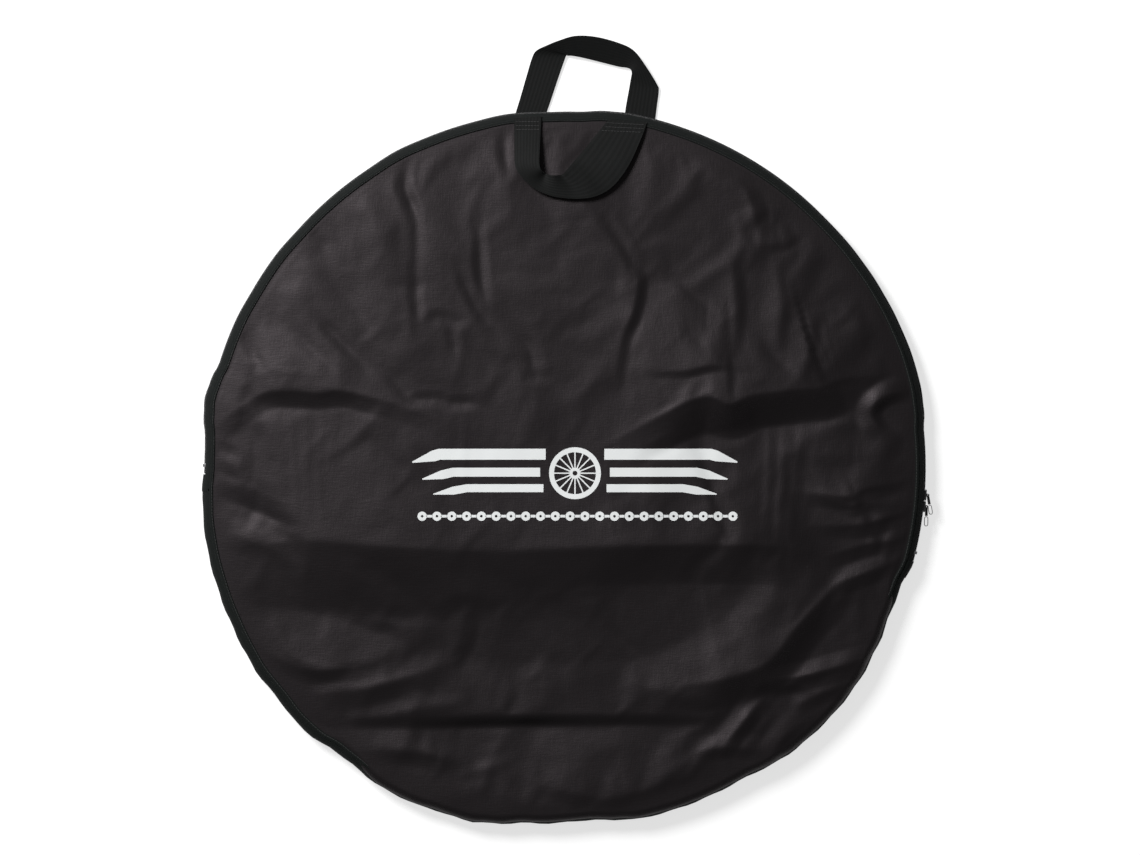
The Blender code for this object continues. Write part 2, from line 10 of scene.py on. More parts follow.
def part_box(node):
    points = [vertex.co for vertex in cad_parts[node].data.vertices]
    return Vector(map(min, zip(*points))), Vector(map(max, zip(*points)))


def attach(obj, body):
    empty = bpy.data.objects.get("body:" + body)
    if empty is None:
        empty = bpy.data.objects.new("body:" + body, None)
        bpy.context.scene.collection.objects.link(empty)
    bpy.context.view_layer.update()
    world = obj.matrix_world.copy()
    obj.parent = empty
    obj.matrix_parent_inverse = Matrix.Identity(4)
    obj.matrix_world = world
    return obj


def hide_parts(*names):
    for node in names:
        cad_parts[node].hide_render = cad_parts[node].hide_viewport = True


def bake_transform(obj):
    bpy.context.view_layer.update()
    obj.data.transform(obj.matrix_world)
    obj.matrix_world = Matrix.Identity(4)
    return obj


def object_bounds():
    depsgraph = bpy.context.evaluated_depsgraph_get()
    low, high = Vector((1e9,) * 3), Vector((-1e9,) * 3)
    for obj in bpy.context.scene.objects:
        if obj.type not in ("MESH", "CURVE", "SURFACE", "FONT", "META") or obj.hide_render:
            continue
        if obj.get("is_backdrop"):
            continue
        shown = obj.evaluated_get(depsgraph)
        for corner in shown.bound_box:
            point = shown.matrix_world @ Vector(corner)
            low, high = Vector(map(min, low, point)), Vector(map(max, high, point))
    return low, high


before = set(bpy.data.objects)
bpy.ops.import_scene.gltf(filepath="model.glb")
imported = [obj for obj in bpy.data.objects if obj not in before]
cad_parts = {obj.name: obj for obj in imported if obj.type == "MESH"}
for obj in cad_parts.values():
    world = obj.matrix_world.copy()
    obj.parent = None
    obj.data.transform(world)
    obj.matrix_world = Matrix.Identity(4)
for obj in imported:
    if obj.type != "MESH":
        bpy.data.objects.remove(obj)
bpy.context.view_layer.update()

# Zip tapes. Two woven polyester tapes stand edge to edge round the upper part of the rim.
# Each is sewn to the edge of one panel, and its other edge carries a row of the coil.
MM = 0.001
TAPE_THICKNESS = 0.6 * MM
TAPE_BOW = 0.5 * MM
TAPE_TURN_IN = 1.6
# Degrees: one step round the rim, and how far a strip runs on under the tabs at the zip's ends.
RIM_STEP = 1.5
TUCK = 0.4
# How far the soft rim stands off its circle: (angle in degrees, distance in mm).
RIM_WAVES = (
    (0, 0), (6, 0.2), (9, 3.0), (13, 4.4), (18, 4.4), (24, 3.4), (30, 2.4), (36, 1.4), (45, 0),
    (70, -0.5), (80, -0.2), (83, -1.2), (88, -4.2), (92, -4.4), (100, -2.0), (105, -2.6), (112, -2.4),
    (118, -1.4), (124, -2.6), (138, -2.6), (144, -1.2), (150, -1.0), (156, 0.4), (163, 0.6),
    (166, 4.4), (169, 6.6), (172, 4.4), (175, 0.8), (177, 0), (180, 0), (184, 2.8), (189, 5.4),
    (195, 6.8), (204, 7.8), (210, 8.8), (213, 9.6), (219, 7.8), (223, 9.6), (227, 8.8), (231, 4.0),
    (234, 4.4), (240, 7.8), (246, 7.6), (249, 5.6), (255, 5.6), (258, 2.6), (264, -3.6), (274, -7.6),
    (279, -4.6), (282, -1.8), (288, -1.8), (300, -2.4), (306, 1.6), (309, 3.2), (318, 3.6),
    (324, 2.6), (330, -0.6), (336, -4.4), (341, -4.4), (345, 0), (360, 0),
)
coil_low, coil_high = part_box("zip_coil_back")
front_coil_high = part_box("zip_coil_front_flap")[1]
tape_low, tape_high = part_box("zip_tape_back")
front_tape_low, front_tape_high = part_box("zip_tape_front_flap")
binding_low, binding_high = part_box("front_binding_upper")
panel_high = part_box("front_panel_upper")[1]
rim_radius = coil_high.x
seam_radius = panel_high.y
binding_outer = binding_high.y
seam_middle = (seam_radius + binding_outer) / 2
front_seam = (binding_low.z + binding_high.z) / 2
back_seam = sum(corner.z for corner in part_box("back_binding")) / 2
zip_height = (front_seam + back_seam) / 2
zip_right = math.degrees(math.asin(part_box("zip_tape_front_right")[0].y / tape_high.x))
zip_left = 180 + math.degrees(math.asin(-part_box("zip_tape_front_left")[0].y / -tape_low.x))


def eased(way):
    """A share from 0 to 1 that starts and ends softly."""
    return way * way * (3 - 2 * way)


wave_angles = np.arange(0, 361, 1.0)
wave_sizes = np.zeros_like(wave_angles)
for (first, low), (last, high) in zip(RIM_WAVES, RIM_WAVES[1:]):
    inside = (wave_angles >= first) & (wave_angles <= last)
    wave_sizes[inside] = low + (high - low) * eased((wave_angles[inside] - first) / (last - first))


def rim_wave(angle):
    """How far the rim stands off its circle at an angle in degrees."""
    return np.interp(np.mod(angle, 360.0), wave_angles, wave_sizes) * MM


def rim_growth(reach, angle):
    """How much larger a place at a radius and an angle is drawn, to follow the soft rim."""
    return 1 + rim_wave(angle) / rim_radius * (reach / rim_radius) ** 2


def vertex_places(bm):
    return np.array([vert.co for vert in bm.verts], float).reshape(-1, 3)


def follow_rim(bm):
    """Draws a round piece out or in to the uneven outline of the soft rim."""
    places = vertex_places(bm)
    reach = np.hypot(places[:, 0], places[:, 1])
    angle = np.degrees(np.arctan2(places[:, 1], places[:, 0]))
    for vert, grown in zip(bm.verts, rim_growth(reach, angle).tolist()):
        vert.co.x *= grown
        vert.co.y *= grown


def turn_round(bm, degrees):
    """Turns a mesh about the bag's axis."""
    turn = Matrix.Rotation(math.radians(degrees), 3, "Z")
    bmesh.ops.rotate(bm, verts=bm.verts, cent=(0, 0, 0), matrix=turn)


def spin_round(bm, angle, steps, **ways):
    """Spins a mesh about the bag's axis, by an angle in radians."""
    geometry = bm.verts[:] + bm.edges[:] + bm.faces[:]
    ways |= {"cent": (0, 0, 0), "axis": (0, 0, 1), "angle": angle, "steps": steps}
    bmesh.ops.spin(bm, geom=geometry, **ways)


def turned(section, start=0.0, end=360.0, step=RIM_STEP):
    """Turns a closed section of (radius, height) points round the bag's axis."""
    bm = bmesh.new()
    verts = [bm.verts.new((radius, 0, height)) for radius, height in section]
    for pair in zip(verts, verts[1:] + verts[:1]):
        bm.edges.new(pair)
    turn_round(bm, start)
    whole = end - start >= 360.0
    spin_round(bm, math.radians(end - start), round((end - start) / step), use_merge=whole)
    if not whole:
        bmesh.ops.holes_fill(bm, edges=[edge for edge in bm.edges if edge.is_boundary])
    bmesh.ops.recalc_face_normals(bm, faces=bm.faces)
    return bm


def thick_section(line, thickness):
    """A closed section: a line of (radius, height) points and the same line set inwards."""
    points = [Vector(point) for point in line]
    inner = []
    for i, point in enumerate(points):
        along = points[min(i + 1, len(points) - 1)] - points[max(i - 1, 0)]
        inner.append(point + Vector((along.y, -along.x)).normalized() * thickness)
    return [tuple(point) for point in points + inner[::-1]]


def finish_piece(name, bm, material, smooth_angle=40.0):
    """Makes a mesh into a named, smooth shaded object at the origin."""
    mesh = bpy.data.meshes.new(name)
    bm.to_mesh(mesh)
    bm.free()
    mesh.shade_smooth()
    mesh.set_sharp_from_angle(angle=math.radians(smooth_angle))
    mesh.materials.append(material)
    piece = bpy.data.objects.new(name, mesh)
    bpy.context.scene.collection.objects.link(piece)
    return piece


def ride_side(piece, front):
    """Front pieces have their placing baked into their mesh. Those of the back belong to the shell."""
    if front:
        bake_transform(piece)
    else:
        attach(piece, "shell")


def new_material(name):
    """A material with its node tree, shader and Object coordinates."""
    material = bpy.data.materials.new(name)
    material.use_nodes = True
    tree = material.node_tree
    coordinates = tree.nodes.new("ShaderNodeTexCoord")
    return material, tree, tree.nodes["Principled BSDF"], coordinates.outputs["Object"]


def feed(tree, node, inputs):
    """Fills a node's inputs, each with a plain value or from a socket."""
    for name, value in inputs.items():
        if isinstance(value, bpy.types.NodeSocket):
            tree.links.new(value, node.inputs[name])
        else:
            node.inputs[name].default_value = value


def put(tree, kind, inputs, output=0, **settings):
    """Adds a node and gives one of its outputs."""
    made = tree.nodes.new(kind)
    for name, value in settings.items():
        setattr(made, name, value)
    feed(tree, made, inputs)
    return made.outputs[output]


def maths(tree, operation, first, second=0.0):
    """A sum, product or other result of two values."""
    return put(tree, "ShaderNodeMath", {0: first, 1: second}, operation=operation)


def ripple(tree, place, period):
    """Waves from 0 to 1 along a coordinate, one in each period."""
    turns = maths(tree, "MULTIPLY", place, math.tau / period)
    wave = maths(tree, "SINE", turns)
    return maths(tree, "MULTIPLY_ADD", wave, 0.5)


def noise_at(tree, coordinates, size, detail=4.0, roughness=0.55):
    """Soft noise whose blotches are about the given size across."""
    return put(
        tree,
        "ShaderNodeTexNoise",
        {"Vector": coordinates, "Scale": 1 / size, "Detail": detail, "Roughness": roughness},
    )


def blended(tree, share, *colours):
    """A colour between two colours. Each is three numbers or a socket."""
    socket = bpy.types.NodeSocket
    first, second = (each if isinstance(each, socket) else (*each, 1) for each in colours)
    return put(tree, "ShaderNodeMix", {0: share, 6: first, 7: second}, 2, data_type="RGBA")


def ranged(tree, value, low, high, start=0.0, end=1.0):
    """Changes a value that runs from start to end into one from low to high."""
    inputs = {"Value": value, "From Min": start, "From Max": end, "To Min": low, "To Max": high}
    return put(tree, "ShaderNodeMapRange", inputs)


def around(tree, coordinates, radius):
    """The distance along the rim, in metres, from the direction round the bag's axis."""
    turn = put(tree, "ShaderNodeTexGradient", {"Vector": coordinates}, gradient_type="RADIAL")
    return maths(tree, "MULTIPLY", turn, math.tau * radius)


def bumped(tree, shader, height, distance, strength=1.0, below=None):
    """Feeds a height into the shader's normal, over another bump if there is one."""
    inputs = {"Height": height, "Distance": distance, "Strength": strength}
    if below is not None:
        inputs["Normal"] = below
    bump = put(tree, "ShaderNodeBump", inputs)
    tree.links.new(bump, shader.inputs["Normal"])
    return bump


def part_of(tree, coordinates, axis):
    """One coordinate of a place."""
    return put(tree, "ShaderNodeSeparateXYZ", {0: coordinates}, axis)


zip_cloth, tree, shader, place = new_material("zip_tape_twill")
along = around(tree, place, rim_radius)
height = part_of(tree, place, "Z")
slanted = maths(tree, "ADD", along, maths(tree, "PINGPONG", height, 1.6 * MM))
twill = ripple(tree, slanted, 1.1 * MM)
ground = noise_at(tree, place, 6 * MM)
colour = blended(tree, ground, (0.0042, 0.0054, 0.0051), (0.0082, 0.0098, 0.0094))
matt = {"Roughness": 0.8, "Sheen Weight": 0.02, "Specular IOR Level": 0.15}
feed(tree, shader, {"Base Color": colour, **matt})
bumped(tree, shader, twill, 0.12 * MM, 0.7)

tape_radius = tape_high.x
foot_radius = binding_outer + TAPE_THICKNESS
ZIP_PARTS = {"back": ("",), "front": ("_flap", "_right", "_left")}
for side, near, foot in (
    ("back", tape_high.z, tape_low.z),
    ("front", front_tape_low.z, front_tape_high.z),
):
    line = []
    for share in (0.0, 0.12, 0.35, 0.55, 0.7, 0.85, 1.0):
        drawn_in = max(0.0, (share - 0.5) / 0.5) ** TAPE_TURN_IN
        radius = tape_radius - (tape_radius - foot_radius) * drawn_in
        radius += TAPE_BOW * math.sin(math.pi * share) ** 2 * (share > 0.3)
        line.append((radius, near + (foot - near) * share))
    line.append((seam_middle, foot))
    if side == "front":
        line.reverse()
    bm = turned(thick_section(line, TAPE_THICKNESS), zip_right - TUCK, zip_left + TUCK)
    follow_rim(bm)
    tape = finish_piece(f"zip_tape_{side}_woven", bm, zip_cloth)
    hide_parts(*(f"zip_tape_{side}{part}" for part in ZIP_PARTS[side]))
    ride_side(tape, side == "front")

# The coil. Each row is one nylon thread wound into small side by side loops, which a slider
# presses into the loops of the other row. From outside each loop shows as a short rounded bar.
COIL_PITCH = 1.27 * MM
COIL_BAR = 0.98 * MM
COIL_ROUNDING = 0.3 * MM
MESHED_GAP = 0.1 * MM

coil_nylon, tree, shader, place = new_material("zip_coil_nylon")
worn = noise_at(tree, place, 4 * MM, 3.0)
colour = blended(tree, worn, (0.010, 0.010, 0.011), (0.022, 0.022, 0.023))
feed(tree, shader, {"Base Color": colour, "Roughness": ranged(tree, worn, 0.3, 0.5)})
bumped(tree, shader, noise_at(tree, place, 0.4 * MM, 2.0), 0.04 * MM, 0.4)

depth = rim_radius - tape_radius + 2 * TAPE_THICKNESS
pitch_angle = math.degrees(COIL_PITCH / rim_radius)
turns = int((zip_left - zip_right) / pitch_angle) - 2
for side, shift, low, high in (
    ("back", 0.5, coil_low.z, zip_height - MESHED_GAP),
    ("front", 1.0, zip_height + MESHED_GAP, front_coil_high.z),
):
    bm = bmesh.new()
    bmesh.ops.create_cube(bm, size=1.0)
    bmesh.ops.scale(bm, verts=bm.verts, vec=(depth, COIL_BAR, high - low))
    chamfer = {"offset": COIL_ROUNDING, "segments": 1, "profile": 0.5, "material": -1}
    bmesh.ops.bevel(bm, geom=bm.edges[:], affect="EDGES", **chamfer)
    bmesh.ops.translate(bm, verts=bm.verts, vec=(rim_radius - depth / 2, 0, (low + high) / 2))
    turn_round(bm, zip_right + pitch_angle * shift)
    spin_round(bm, math.radians(turns * pitch_angle), turns, use_duplicate=True)
    follow_rim(bm)
    coil = finish_piece(f"zip_coil_{side}_loops", bm, coil_nylon, 60.0)
    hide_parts(*(f"zip_coil_{side}{part}" for part in ZIP_PARTS[side]))
    ride_side(coil, side == "front")

# Sliders, pins, pulls and stops. The slider bodies and the shanks of the pulls are die cast and
# enamelled black. The pins, the oval wire loops and the stops are plated.
CAST_ROUNDING = 0.12 * MM

enamel, tree, shader, place = new_material("black_enamel")
rubbed = noise_at(tree, place, 1.2 * MM, 5.0, 0.7)
chips = ranged(tree, rubbed, 0.0, 1.0, 0.62, 0.72)
colour = blended(tree, chips, (0.012, 0.012, 0.013), (0.075, 0.073, 0.070))
feed(tree, shader, {"Base Color": colour, "Roughness": ranged(tree, rubbed, 0.22, 0.5)})
feed(tree, shader, {"Coat Weight": 0.35, "Coat Roughness": 0.15})
bumped(tree, shader, rubbed, 0.03 * MM, 0.5)

plating, tree, shader, place = new_material("nickel_plating")
handled = noise_at(tree, place, 0.9 * MM, 6.0, 0.7)
colour = blended(tree, handled, (0.42, 0.42, 0.43), (0.66, 0.66, 0.67))
rough = ranged(tree, handled, 0.18, 0.42)
feed(tree, shader, {"Base Color": colour, "Roughness": rough, "Metallic": 1.0})
bumped(tree, shader, handled, 0.015 * MM, 0.5)

CAST = ("slider_upper_body", "slider_lower_body", "pull_upper_shank", "pull_lower_shank")
PINS_AND_STOPS = ("slider_upper_pin", "slider_lower_pin", "zip_stop_left", "zip_stop_right")
WIRE = ("pull_upper_loop", "pull_lower_loop")
for name in CAST + PINS_AND_STOPS + WIRE:
    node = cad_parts[name]
    node.data.materials.clear()
    node.data.materials.append(enamel if name in CAST else plating)
    weld = node.modifiers.new("joined_corners", "WELD")
    weld.merge_threshold = MM / 1000
    if name in WIRE:
        wire = node.modifiers.new("round_wire", "SUBSURF")
        wire.levels = wire.render_levels = 2
    else:
        edges = node.modifiers.new("cast_edges", "BEVEL")
        edges.width = CAST_ROUNDING
        edges.segments = 2
        edges.limit_method = "ANGLE"

# End tabs and side strip. Past the ends of the zip the rim is closed by a strip of tape that bows
# outwards, and a folded tab covers each end of the zip and is sewn through.
STRIP_THICKNESS = 0.8 * MM
STRIP_FULLNESS = 0.7
PUCKER = 0.5 * MM
PUCKERS = 61
TAB_STEP = 0.5
TAB_SEWN = 6.0 * MM
STITCH_PITCH = 3.0 * MM
STITCH_LENGTH = 2.3 * MM
THREAD = 0.5 * MM

rim_tape, tree, shader, place = new_material("ribbed_tape")
along = around(tree, place, rim_radius)
rib = ripple(tree, along, 1.15 * MM)
fuzz = noise_at(tree, place, 2.5 * MM, 5.0)
colour = blended(tree, fuzz, (0.0040, 0.0054, 0.0050), (0.0085, 0.0104, 0.0098))
feed(tree, shader, {"Base Color": colour, "Roughness": 0.78, "Specular IOR Level": 0.14})
feed(tree, shader, {"Sheen Weight": 0.02, "Sheen Roughness": 0.4})
ribs = bumped(tree, shader, rib, 0.15 * MM, 0.6)
bumped(tree, shader, fuzz, 0.1 * MM, 0.5, ribs)

thread, tree, shader, place = new_material("sewing_thread")
slanted = maths(tree, "ADD", part_of(tree, place, "X"), part_of(tree, place, "Y"))
twist = ripple(tree, slanted, 0.6 * MM)
colour = blended(tree, twist, (0.018, 0.018, 0.018), (0.045, 0.045, 0.045))
feed(tree, shader, {"Base Color": colour, "Roughness": 0.6})
bumped(tree, shader, twist, 0.06 * MM, 0.6)


def add_stitch(bm, start, end, up):
    """One stitch: a short bar of thread, rounded, half sunk between two points."""
    along = end - start
    made = bmesh.ops.create_cone(
        bm, cap_ends=True, segments=6, radius1=THREAD / 2, radius2=THREAD / 2, depth=along.length
    )["verts"]
    side = up.cross(along).normalized()
    turn = Matrix((side, along.normalized().cross(side), along.normalized())).transposed()
    bmesh.ops.rotate(bm, verts=made, cent=(0, 0, 0), matrix=turn)
    bmesh.ops.translate(bm, verts=made, vec=(start + end) / 2)


def stitch_row(bm, corners, up=Vector((0, 0, 1))):
    """Stitches along a line through points, at the sewing machine's pitch."""
    for start, end in zip(corners, corners[1:]):
        way = end - start
        count = max(1, round(way.length / STITCH_PITCH))
        for i in range(count):
            first = start + way * (i / count)
            add_stitch(bm, first, first + way.normalized() * STITCH_LENGTH, up)


def strip_line(low, high, bulge, foot):
    """From seam to seam: sewn in at the upper one, bowed out to the bulge, sewn in at the lower."""
    line = [(seam_middle, high)]
    for share in (0.0, 0.08, 0.2, 0.35, 0.5, 0.65, 0.8, 0.92, 1.0):
        out = math.sin(math.pi * share) ** STRIP_FULLNESS if 0 < share < 1 else 0.0
        line.append((foot + (bulge - foot) * out, high + (low - high) * share))
    return line + [(seam_middle, low)]


tab_degrees = {}
for side in ("left", "right"):
    low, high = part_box(f"zip_end_tab_{side}")
    tab_degrees[side] = math.degrees((high.y - low.y) / math.hypot(low.x, low.y))
strip_foot = binding_outer + STRIP_THICKNESS
line = strip_line(back_seam, front_seam, rim_radius, strip_foot)
section = thick_section(line, STRIP_THICKNESS)
tab_section = [(radius + STRIP_THICKNESS, height) for radius, height in section]
strip_start = zip_left + tab_degrees["left"]
strip_end = zip_right - tab_degrees["right"]
for side, start, end in (("left", zip_left, strip_start), ("right", strip_end, zip_right)):
    bm = turned(tab_section, start, end, TAB_STEP)
    follow_rim(bm)
    tab = finish_piece(f"zip_end_tab_{side}_folded", bm, rim_tape)
    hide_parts(f"zip_end_tab_{side}")
    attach(tab, "shell")
    bm = bmesh.new()
    for share in (0.15, 0.85):
        angle = math.radians(start + (end - start) * share)
        outward = Vector((math.cos(angle), math.sin(angle), 0))
        reach = rim_radius + THREAD / 4
        line = [
            outward * (strip_foot + (reach - strip_foot) * out) + Vector((0, 0, zip_height + up))
            for out, up in ((0.9, TAB_SEWN), (1.0, 0), (0.9, -TAB_SEWN))
        ]
        stitch_row(bm, line, outward)
    follow_rim(bm)
    sewing = finish_piece(f"zip_end_stitches_{side}", bm, thread, 60.0)
    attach(sewing, "shell")

bm = turned(section, strip_start - TUCK, 360 + strip_end + TUCK)
for vert in bm.verts:
    angle = math.atan2(vert.co.y, vert.co.x)
    share = (vert.co.z - back_seam) / (front_seam - back_seam)
    pucker = PUCKER * math.sin(angle * PUCKERS) * math.sin(share * math.pi)
    vert.co.x += pucker * math.cos(angle)
    vert.co.y += pucker * math.sin(angle)
follow_rim(bm)
side_strip = finish_piece("side_strip_bowed", bm, rim_tape)
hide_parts("side_strip")
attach(side_strip, "shell")

# Back panel. A disc of the same coated nylon as the front, which lies on the floor and rises to
# its seam at the rim.
BACK_GRID = 150
BACK_FLAT = 0.94
BACK_RISE = 1.5
# The ripples of the back panel: height and width in mm.
BACK_RIPPLES = ((0.5, 90.0), (0.25, 37.0))
CLOTH_THICKNESS = 0.7 * MM
FLOOR_GAP = 0.05 * MM
# How far both panels run on into their seams.
SEAM_TUCK = 1.4 * MM
THREAD_GAP = 0.55 * MM


def crossing_threads(tree, place):
    """The height of the nylon's weave."""
    warp, weft = (ripple(tree, part_of(tree, place, axis), THREAD_GAP) for axis in "XY")
    return maths(tree, "MULTIPLY", warp, weft)


nylon, tree, shader, place = new_material("coated_nylon")
weave = crossing_threads(tree, place)
blotches = noise_at(tree, place, 140 * MM, 3.0, 0.6)
creased = noise_at(tree, place, 14 * MM, 6.0, 0.62)
slubs = []
for thread_way in ((1.0, 0.16, 1.0), (0.16, 1.0, 1.0)):
    drawn = put(tree, "ShaderNodeMapping", {"Vector": place, "Scale": thread_way})
    slubs.append(noise_at(tree, drawn, 1.5 * MM, 3.0))
slub = maths(tree, "ADD", slubs[0], slubs[1])
dust = noise_at(tree, place, 5 * MM, 8.0, 0.7)
fibres = ranged(tree, dust, 0.0, 0.35, 0.64, 0.8)
ground = blended(tree, blotches, (0.0040, 0.0034, 0.0037), (0.0066, 0.0056, 0.0060))
colour = blended(tree, fibres, ground, (0.03, 0.028, 0.028))
feed(tree, shader, {"Base Color": colour, "Roughness": ranged(tree, blotches, 0.47, 0.54)})
feed(tree, shader, {"Specular IOR Level": 0.35, "Specular Tint": (1.0, 0.88, 0.93, 1)})
feed(tree, shader, {"Sheen Weight": 0.02, "Sheen Roughness": 0.5})
threads = bumped(tree, shader, weave, 0.05 * MM, 0.35)
threads = bumped(tree, shader, slub, 0.2 * MM, 0.6, threads)
bumped(tree, shader, creased, 0.5 * MM, 0.3, threads)


def disc_grid(count):
    """A square grid drawn out into a disc of radius 1, so that its cells stay nearly square."""
    bm = bmesh.new()
    bmesh.ops.create_grid(bm, x_segments=count, y_segments=count, size=1.0)
    for vert in bm.verts:
        x, y = vert.co.x, vert.co.y
        if abs(x) + abs(y) > 0:
            if abs(x) >= abs(y):
                reach, turn = x, math.pi / 4 * y / x
            else:
                reach, turn = y, math.pi / 2 - math.pi / 4 * x / y
            vert.co.x = reach * math.cos(turn)
            vert.co.y = reach * math.sin(turn)
    return bm


def cloth_object(name, bm, points):
    """A sheet of the panel's cloth: the grid's vertices moved to the given points."""
    sheet = finish_piece(name, bm, nylon, 180.0)
    sheet.data.vertices.foreach_set("co", points.astype(np.float32).ravel())
    sheet.data.update()
    return sheet


bm = disc_grid(BACK_GRID)
disc = vertex_places(bm)
share = np.hypot(disc[:, 0], disc[:, 1])
angle = np.arctan2(disc[:, 1], disc[:, 0])
radius = share * (seam_radius + SEAM_TUCK)
radius *= rim_growth(radius, np.degrees(angle))
flat_radius = BACK_FLAT * seam_radius
rise = np.clip((radius - flat_radius) / (seam_radius - flat_radius), 0, 1)
low = CLOTH_THICKNESS + FLOOR_GAP + (back_seam - CLOTH_THICKNESS) * rise**BACK_RISE
back_points = np.stack([radius * np.cos(angle), radius * np.sin(angle), low], axis=1)
for size, wide in BACK_RIPPLES:
    phase = back_points[:, :2] @ np.array([[1.0, 0.4], [-0.5, 1.1]]) * (math.tau / (wide * MM))
    ripple_up = np.sin(phase[:, 0] + 1.7 * np.sin(phase[:, 1] * 0.7)) * np.sin(phase[:, 1])
    back_points[:, 2] += size * MM * np.clip(ripple_up, 0, 1) * (1 - rise)
back_panel = cloth_object("back_panel_cloth", bm, back_points)
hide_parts("back_panel")
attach(back_panel, "shell")

# Front panel. One disc of thin coated nylon, loosely held by its seam, with the creases of a bag
# that has been folded away. Round the bottom of the bag its slack rolls out over the seam.
FRONT_GRID = 296
CROWN = 1.8 * MM
CROWN_POWER = 5
SEAM_LIFT = 0.5 * MM
EDGE_RINGS_SHARE = 0.91
EDGE_START = 340 * MM
# The rolled edge: where round the rim it is (degrees, share), and its section.
ROLL_ZONE = ((0, 0.0), (228, 0.0), (240, 1.0), (336, 1.0), (345, 0.0), (360, 0.0))
ROLL_REACH = 10.2 * MM
ROLL_DROP = 9.0 * MM
ROLL_TURN = 62
ROLL_START = 0.35
ROLL_LEDGE = 1.0 * MM
ROLL_LIFT = 1.9 * MM
ROLL_LIFT_FROM, ROLL_LIFT_OVER = 0.8, 0.15
# Where the seam holds the folds down, as shares of its radius, and how much less at the rolled edge.
HELD_FROM, HELD_OVER = 0.89, 0.11
HELD_LESS = 0.35
# The simulated slack: a square grid of cloth that is too long by a share, held at its rim and a
# little all over, and how much of its small buckles is kept.
SLACK_REACH = 348 * MM
SLACK_GRID = 156
SLACK = 0.009
SLACK_HOLD = 0.004
SLACK_BENDING = 0.35
SLACK_FRAMES = 20
SLACK_WIDEST = 30 * MM
SLACK_KEPT = 0.43
SLACK_RIM = 7 * MM
SLACK_FADE = 20 * MM
# Slight waves all over the cloth: height and width in mm, and the seed of the random draws.
CRUMPLES = ((1.1, 110.0, 5), (0.32, 40.0, 8))
CRUMPLE_WAVES = 7
FOLD_STEPS = 6
FOLD_END = 0.45
FOLD_SLOPE = 1.35
FOLD_UNEVEN = 0.15
